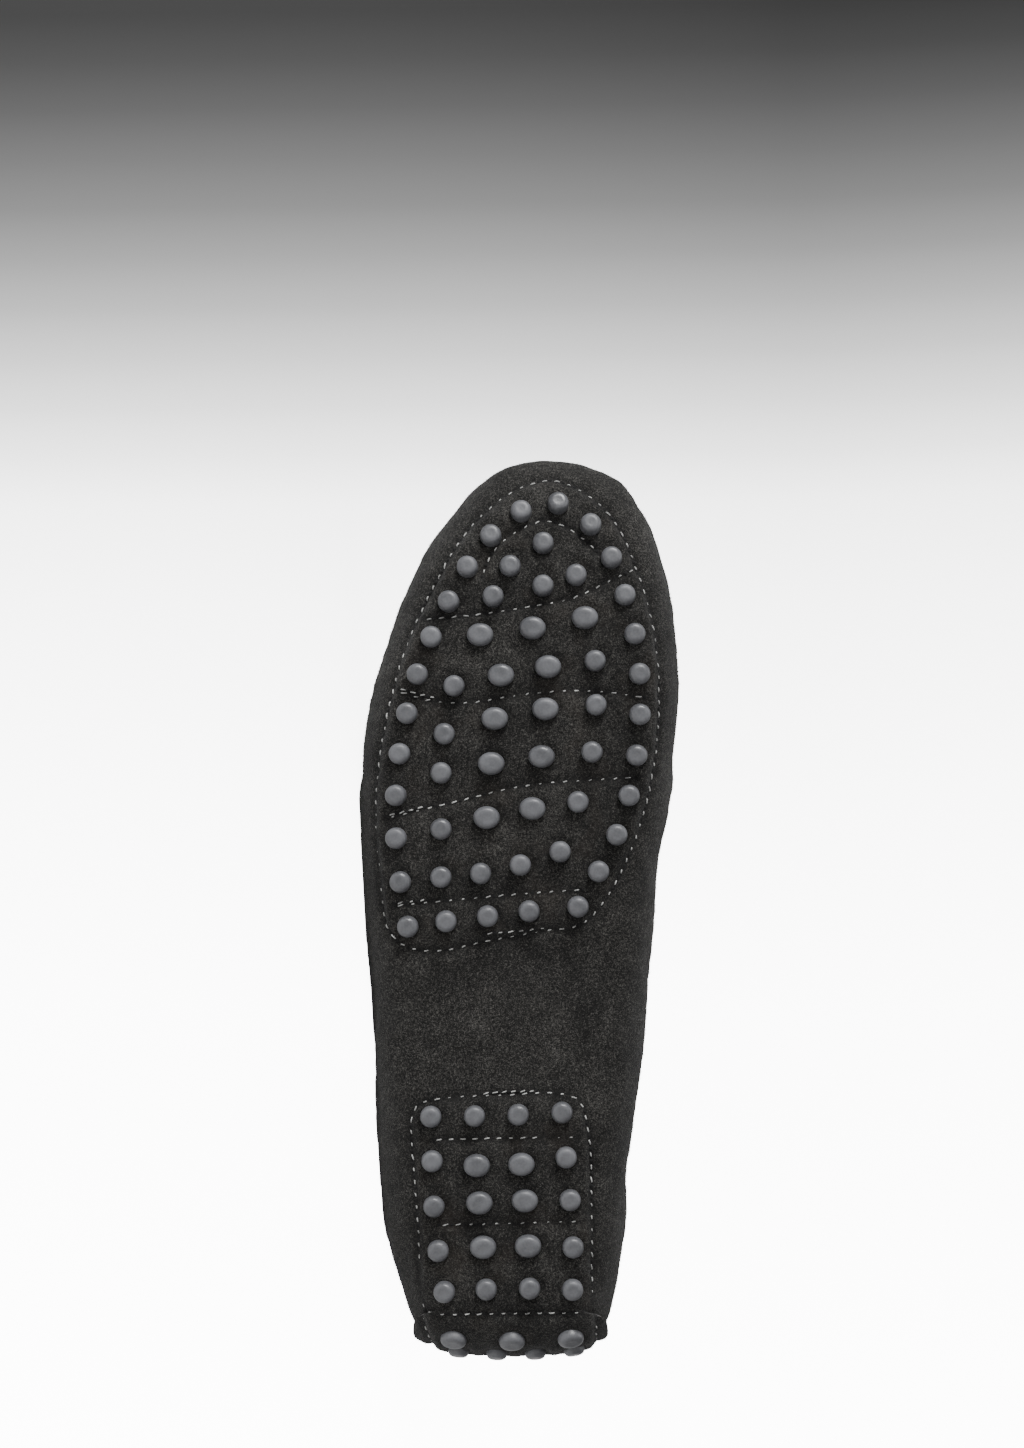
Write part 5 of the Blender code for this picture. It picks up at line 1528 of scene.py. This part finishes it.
class Nodes:
    """A short hand for wiring the nodes of one material or group."""

    def __init__(self, tree: bpy.types.NodeTree) -> None:
        """Starts on an empty tree."""
        self.tree = tree

    def add(self, kind: str, **values: object) -> bpy.types.Node:
        """Adds a node. Settings are by name, and a socket's value or link goes by its name after in_."""
        node = self.tree.nodes.new(kind)
        for name, value in values.items():
            if not name.startswith("in_"):
                setattr(node, name, value)
        for name, value in values.items():
            if name.startswith("in_"):
                key = name[3:].replace("_", " ")
                socket = node.inputs[int(key)] if key.isdigit() else node.inputs[key]
                if isinstance(value, bpy.types.NodeSocket):
                    self.tree.links.new(value, socket)
                else:
                    socket.default_value = value
        return node

    def noise(self, where: bpy.types.NodeSocket, scale: float, detail: float = 2.0) -> bpy.types.NodeSocket:
        """Noise between 0 and 1 at a place."""
        node = self.add("ShaderNodeTexNoise", in_Vector=where, in_Scale=scale, in_Detail=detail)
        return node.outputs["Fac"]

    def math(self, kind: str, first: object, second: object = 0.5) -> bpy.types.NodeSocket:
        """One sum of two numbers."""
        return self.add("ShaderNodeMath", operation=kind, in_0=first, in_1=second).outputs[0]

    def stretch(self, value: bpy.types.NodeSocket, low: float, high: float, to: Row) -> bpy.types.NodeSocket:
        """A value between low and high spread to another range, held at its ends."""
        node = self.add("ShaderNodeMapRange", in_Value=value)
        node.inputs["From Min"].default_value = low
        node.inputs["From Max"].default_value = high
        node.inputs["To Min"].default_value = to[0]
        node.inputs["To Max"].default_value = to[1]
        return node.outputs[0]

    def ramp(self, value: bpy.types.NodeSocket, stops: Sequence[tuple[float, Row]]) -> bpy.types.NodeSocket:
        """A colour ramp through stops of place and colour."""
        node = self.add("ShaderNodeValToRGB", in_Fac=value)
        line = node.color_ramp
        while len(line.elements) < len(stops):
            line.elements.new(0.5)
        for element, (place, colour) in zip(line.elements, stops):
            element.position = place
            element.color = (*colour, 1)
        return node.outputs[0]

    def mix(self, share: object, first: object, second: object, kind: str = "MIX") -> bpy.types.NodeSocket:
        """Two colours mixed by a share."""
        node = self.add("ShaderNodeMix", data_type="RGBA", blend_type=kind)
        for socket, value in ((node.inputs[0], share), (node.inputs[6], first), (node.inputs[7], second)):
            if isinstance(value, bpy.types.NodeSocket):
                self.tree.links.new(value, socket)
            else:
                socket.default_value = value
        return node.outputs[2]


def fibre_group() -> bpy.types.NodeTree:
    """The nap that suede, raw edges and thread share: fine fibres over clouds of lighter and darker lie.

    Returns:
        A group with Tone and Height out, both between 0 and 1.
    """
    group = bpy.data.node_groups.new("fibre_nap", "ShaderNodeTree")
    group.interface.new_socket("Fineness", in_out="INPUT", socket_type="NodeSocketFloat")
    group.interface.new_socket("Clouds", in_out="INPUT", socket_type="NodeSocketFloat")
    group.interface.new_socket("Tone", in_out="OUTPUT", socket_type="NodeSocketFloat")
    group.interface.new_socket("Height", in_out="OUTPUT", socket_type="NodeSocketFloat")
    nodes = Nodes(group)
    source = nodes.add("NodeGroupInput")
    out = nodes.add("NodeGroupOutput")
    where = nodes.add("ShaderNodeTexCoord").outputs["Object"]
    scaled = nodes.add("ShaderNodeVectorMath", operation="SCALE", in_0=where, in_Scale=source.outputs[0])
    scaled = scaled.outputs[0]
    fine = nodes.noise(scaled, 2.0, 3.0)
    coarse = nodes.noise(scaled, 0.75, 2.0)
    clouds = nodes.noise(where, 55.0, 3.0)
    blotches = nodes.noise(where, 190.0, 2.0)
    grain = nodes.math("ADD", nodes.math("MULTIPLY", fine, 0.74), nodes.math("MULTIPLY", coarse, 0.26))
    cloud = nodes.math("ADD", nodes.math("MULTIPLY", clouds, 0.6), nodes.math("MULTIPLY", blotches, 0.4))
    lie = nodes.math("MULTIPLY", nodes.math("SUBTRACT", cloud, 0.5), source.outputs[1])
    group.links.new(nodes.math("ADD", grain, lie), out.inputs[0])
    group.links.new(grain, out.inputs[1])
    return group


@dataclass(frozen=True)
class FibreFinish:
    """Suede, a raw cut edge, or thread: a matt surface of fibres."""

    name: str
    dark: Row
    middle: Row
    light: Row
    fineness: float
    clouds: float
    bump: float
    roughness: float
    sheen: float
    # whether the finish gets painted shade in the stitch grooves and rubbed wear spots on the pads
    groove_shade_and_wear: bool = False

    def make(self, group: bpy.types.NodeTree) -> bpy.types.Material:
        """Builds the material with its own values of the shared nap."""
        made = bpy.data.materials.new(self.name)
        made.use_nodes = True
        nodes = Nodes(made.node_tree)
        shader = made.node_tree.nodes["Principled BSDF"]
        nap = nodes.add("ShaderNodeGroup", node_tree=group)
        nap.inputs[0].default_value = self.fineness
        nap.inputs[1].default_value = self.clouds
        colour = nodes.ramp(nap.outputs[0], [(0.36, self.dark), (0.50, self.middle), (0.66, self.light)])
        if self.groove_shade_and_wear:
            groove = nodes.add("ShaderNodeAttribute", attribute_name="groove").outputs["Fac"]
            on_pad = nodes.add("ShaderNodeAttribute", attribute_name="on_pad").outputs["Fac"]
            where = nodes.add("ShaderNodeTexCoord").outputs["Object"]
            spots = nodes.stretch(nodes.noise(where, 70, 3), 0.52, 0.75, (0, 0.3))
            rubbed = nodes.math("MULTIPLY", on_pad, spots)
            # painted shade: the suede darkens towards near black in the stitch grooves, where shade falls
            colour = nodes.mix(nodes.math("MULTIPLY", groove, 0.55), colour, (0.008, 0.008, 0.008, 1))
            colour = nodes.mix(rubbed, colour, (0.030, 0.023, 0.018, 1))
        made.node_tree.links.new(colour, shader.inputs["Base Color"])
        gloss = (self.roughness - 0.06, min(1.0, self.roughness + 0.06))
        rough = nodes.stretch(nap.outputs[0], 0.3, 0.7, gloss)
        made.node_tree.links.new(rough, shader.inputs["Roughness"])
        bump = nodes.add("ShaderNodeBump", in_Height=nap.outputs[1], in_Strength=0.9, in_Distance=self.bump)
        made.node_tree.links.new(bump.outputs[0], shader.inputs["Normal"])
        shader.inputs["Sheen Weight"].default_value = self.sheen
        shader.inputs["Sheen Roughness"].default_value = 0.45
        shader.inputs["Specular IOR Level"].default_value = 0.15
        made.diffuse_color = (*self.middle, 1)
        return made


@dataclass(frozen=True)
class HideFinish:
    """Smooth leather of the lining, the binding and the sock: pebbled, with a low gloss."""

    name: str
    colour: Row
    light: Row
    pebble: float
    roughness: float

    def make(self) -> bpy.types.Material:
        """Builds the material."""
        made = bpy.data.materials.new(self.name)
        made.use_nodes = True
        nodes = Nodes(made.node_tree)
        shader = made.node_tree.nodes["Principled BSDF"]
        where = nodes.add("ShaderNodeTexCoord").outputs["Object"]
        cells = nodes.add("ShaderNodeTexVoronoi", in_Vector=where, in_Scale=self.pebble).outputs["Distance"]
        clouds = nodes.noise(where, 45, 4)
        both = nodes.math("ADD", nodes.math("MULTIPLY", cells, 0.5), nodes.math("MULTIPLY", clouds, 0.7))
        colour = nodes.ramp(both, [(0.25, self.colour), (0.85, self.light)])
        made.node_tree.links.new(colour, shader.inputs["Base Color"])
        rough = nodes.stretch(clouds, 0.3, 0.7, (self.roughness - 0.08, self.roughness + 0.08))
        made.node_tree.links.new(rough, shader.inputs["Roughness"])
        bump = nodes.add("ShaderNodeBump", in_Height=cells, in_Strength=0.5, in_Distance=0.00025)
        made.node_tree.links.new(bump.outputs[0], shader.inputs["Normal"])
        made.diffuse_color = (*self.colour, 1)
        return made


@dataclass(frozen=True)
class RubberFinish:
    """Moulded grey rubber, a little dusty, its gloss uneven in clouds."""

    name: str = "moulded_rubber"
    dark: Row = (0.062, 0.063, 0.068)
    light: Row = (0.105, 0.107, 0.115)
    roughness: float = 0.42

    def make(self) -> bpy.types.Material:
        """Builds the material."""
        made = bpy.data.materials.new(self.name)
        made.use_nodes = True
        nodes = Nodes(made.node_tree)
        shader = made.node_tree.nodes["Principled BSDF"]
        where = nodes.add("ShaderNodeTexCoord").outputs["Object"]
        specks = nodes.noise(where, 1500, 2)
        clouds = nodes.noise(where, 130, 4)
        tone = nodes.math("ADD", nodes.math("MULTIPLY", specks, 0.35), nodes.math("MULTIPLY", clouds, 0.65))
        colour = nodes.ramp(tone, [(0.35, self.dark), (0.65, self.light)])
        made.node_tree.links.new(colour, shader.inputs["Base Color"])
        rough = nodes.stretch(clouds, 0.35, 0.65, (self.roughness - 0.07, self.roughness + 0.10))
        made.node_tree.links.new(rough, shader.inputs["Roughness"])
        bump = nodes.add("ShaderNodeBump", in_Height=specks, in_Strength=0.35, in_Distance=0.0001)
        made.node_tree.links.new(bump.outputs[0], shader.inputs["Normal"])
        made.diffuse_color = (*self.light, 1)
        return made


def make_finishes() -> dict:
    """All finishes of the shoe, by what they cover."""
    group = fibre_group()
    suede = FibreFinish(
        "black_suede",
        dark=(0.0025, 0.0025, 0.0025), middle=(0.0115, 0.0112, 0.0105), light=(0.084, 0.081, 0.075),
        fineness=1600, clouds=0.22, bump=0.0007, roughness=0.92, sheen=0.09, groove_shade_and_wear=True,
    )
    raw = FibreFinish(
        "raw_suede_edge", dark=(0.10, 0.10, 0.098), middle=(0.24, 0.235, 0.23), light=(0.46, 0.45, 0.44),
        fineness=1500, clouds=0.3, bump=0.0004, roughness=0.95, sheen=0.1,
    )
    thread = FibreFinish(
        "grey_thread", dark=(0.10, 0.10, 0.10), middle=(0.32, 0.32, 0.31), light=(0.68, 0.68, 0.66),
        fineness=2600, clouds=0.5, bump=0.0002, roughness=0.7, sheen=0.2,
    )
    # near black: the apron's thread, and painted shade in the needle holes
    dark = FibreFinish(
        "dark_thread_and_hole_shade", dark=(0.004, 0.004, 0.004), middle=(0.009, 0.009, 0.009), light=(0.018, 0.018, 0.018),
        fineness=2600, clouds=0.2, bump=0.0002, roughness=0.8, sheen=0.05,
    )
    lining = HideFinish("lining_leather", (0.016, 0.0155, 0.015), (0.034, 0.033, 0.032), 900, 0.55)
    binding = HideFinish("binding_leather", (0.013, 0.0125, 0.012), (0.03, 0.029, 0.028), 700, 0.5)
    sock = HideFinish("sock_leather", (0.022, 0.021, 0.020), (0.045, 0.043, 0.041), 1100, 0.6)
    return {
        Finish.SUEDE: suede.make(group),
        Finish.RAW_EDGE: raw.make(group),
        Finish.THREAD: thread.make(group),
        Finish.NEEDLE_HOLE: dark.make(group),
        Finish.LINING: lining.make(),
        Finish.BINDING: binding.make(),
        Finish.SOCK: sock.make(),
        Finish.RUBBER: RubberFinish().make(),
    }


@dataclass
class Studio:
    """Floor, light and camera."""

    lying: Lying
    distance: float = 1.25
    scale: float = 0.32 * MM
    picture_height: int = 1448
    sensor: float = 36.0

    def floor(self) -> None:
        """A pale sweep of paper: floor and a wall far behind, with painted light falloff that runs darker
        towards the toe's end, and a painted glow.
        """
        turn = np.linspace(0, math.pi / 2, 13)
        reach, radius, tall = 2.6, 0.8, 3.0
        side = [(-2.6, 0.0)] + [(reach + radius * math.sin(t), radius * (1 - math.cos(t))) for t in turn]
        side.append((reach + radius, tall))
        points = [(x, y, z) for x in (-4.0, 4.0) for y, z in side]
        count = len(side)
        faces = [[k, k + 1, count + k + 1, count + k] for k in range(count - 1)]
        sweep = new_object("paper_sweep", np.array(points), faces)
        made = bpy.data.materials.new("paper_painted_falloff_and_glow")
        made.use_nodes = True
        nodes = Nodes(made.node_tree)
        shader = made.node_tree.nodes["Principled BSDF"]
        where = nodes.add("ShaderNodeSeparateXYZ", in_0=nodes.add("ShaderNodeTexCoord").outputs["Object"])
        depth = nodes.math("ADD", where.outputs[1], 1.29)
        ahead = nodes.math("ADD", where.outputs[0], 0.062)
        fan = nodes.math("DIVIDE", ahead, nodes.math("MAXIMUM", depth, 0.4))
        place = nodes.stretch(fan, -0.20, 0.20, (0.0, 1.0))
        # painted light falloff: colour and glow fan out from near black at the toe's end to white
        painted_falloff = [
            (0.040, 0.0040), (0.069, 0.0057), (0.101, 0.0092), (0.133, 0.0142), (0.165, 0.0208),
            (0.197, 0.0325), (0.229, 0.053), (0.261, 0.084), (0.293, 0.134), (0.325, 0.205),
            (0.357, 0.315), (0.421, 0.43), (0.485, 0.52), (0.549, 0.62), (0.677, 0.80),
            (0.85, 0.90), (1.0, 1.0),
        ]
        glow = nodes.ramp(place, [(spot, (value, value, value)) for spot, value in painted_falloff])
        paper = nodes.ramp(place, [(spot, (min(0.8, 2 * value),) * 3) for spot, value in painted_falloff[::2]])
        made.node_tree.links.new(paper, shader.inputs["Base Color"])
        made.node_tree.links.new(glow, shader.inputs["Emission Color"])
        # painted glow: the paper emits light, 13 for camera rays and 0.5 for all others
        seen = nodes.add("ShaderNodeLightPath").outputs["Is Camera Ray"]
        strength = nodes.stretch(seen, 0.0, 1.0, (0.5, 13.0))
        made.node_tree.links.new(strength, shader.inputs["Emission Strength"])
        shader.inputs["Roughness"].default_value = 0.9
        shader.inputs["Specular IOR Level"].default_value = 0.1
        sweep.data.materials.append(made)

    def light(self, name: str, place: Row, size: float, watts: float) -> None:
        """One soft square light that faces the shoe.

        Args:
            name: its name.
            place: where it hangs.
            size: its side.
            watts: its power.
        """
        lamp = bpy.data.lights.new(name, "AREA")
        lamp.shape = "SQUARE"
        lamp.size = size
        lamp.energy = watts
        holder = bpy.data.objects.new(name, lamp)
        holder.location = place
        holder.rotation_euler = (Vector((0, 0, 0.045)) - Vector(place)).to_track_quat("-Z", "Y").to_euler()
        bpy.context.scene.collection.objects.link(holder)

    def build(self) -> None:
        """Sets up the whole studio, with the camera straight below the sole as in the photograph."""
        self.floor()
        self.light("toe_key", (-1.20, -0.62, 0.50), 0.45, 30)
        self.light("front_fill", (-0.5, -1.6, 0.9), 1.4, 7)
        self.light("top_fill", (-0.3, 0.1, 1.6), 1.2, 9)
        world = bpy.data.worlds.new("studio_air")
        world.use_nodes = True
        world.node_tree.nodes["Background"].inputs[0].default_value = (1, 1, 1, 1)
        world.node_tree.nodes["Background"].inputs[1].default_value = 0.30
        bpy.context.scene.world = world
        camera = bpy.data.cameras.new("photo_camera")
        camera.sensor_width = self.sensor
        camera.lens = self.sensor * self.distance / (self.picture_height * self.scale)
        camera.clip_start, camera.clip_end = 0.01, 50
        holder = bpy.data.objects.new("photo_camera", camera)
        bpy.context.scene.collection.objects.link(holder)
        ahead, right, up = (self.lying.way(d) for d in ((0, 0, 1), (0, 1, 0), (1, 0, 0)))
        place = self.lying.matrix @ Vector((0.2044, 0.0, 0.0045 - self.distance))
        turn = Matrix((right, up, -ahead)).transposed().to_4x4()
        holder.matrix_world = Matrix.Translation(place) @ turn
        bpy.context.scene.camera = holder


def main() -> None:
    """Builds the shoe piece by piece, then its studio."""
    logging.basicConfig(level=logging.INFO, format="%(message)s")
    last, lying, creases = Last(), Lying(), Creases()
    sole = Sole(last)
    finishes = make_finishes()
    wrap = Wrap(last, lying, sole, creases)
    suede = [wrap.build(finishes), Apron(last, lying, wrap, creases).build(finishes)]
    suede.append(HeelTab(last, lying, sole).build(finishes))
    outsole = Outsole(last, sole)
    pad = StudPad(last, lying, outsole, sole)
    pad.build("front_stud_rubber", False, finishes)
    pad.build("heel_stud_rubber", True, finishes)
    CollarBinding(last, lying).build(finishes)
    Sock(last, lying).build(finishes)
    Stitching(last, lying, sole, outsole, wrap).build(finishes)
    Nap(lying).build(suede, finishes)
    Studio(lying).build()


if __name__ == "__main__":
    main()
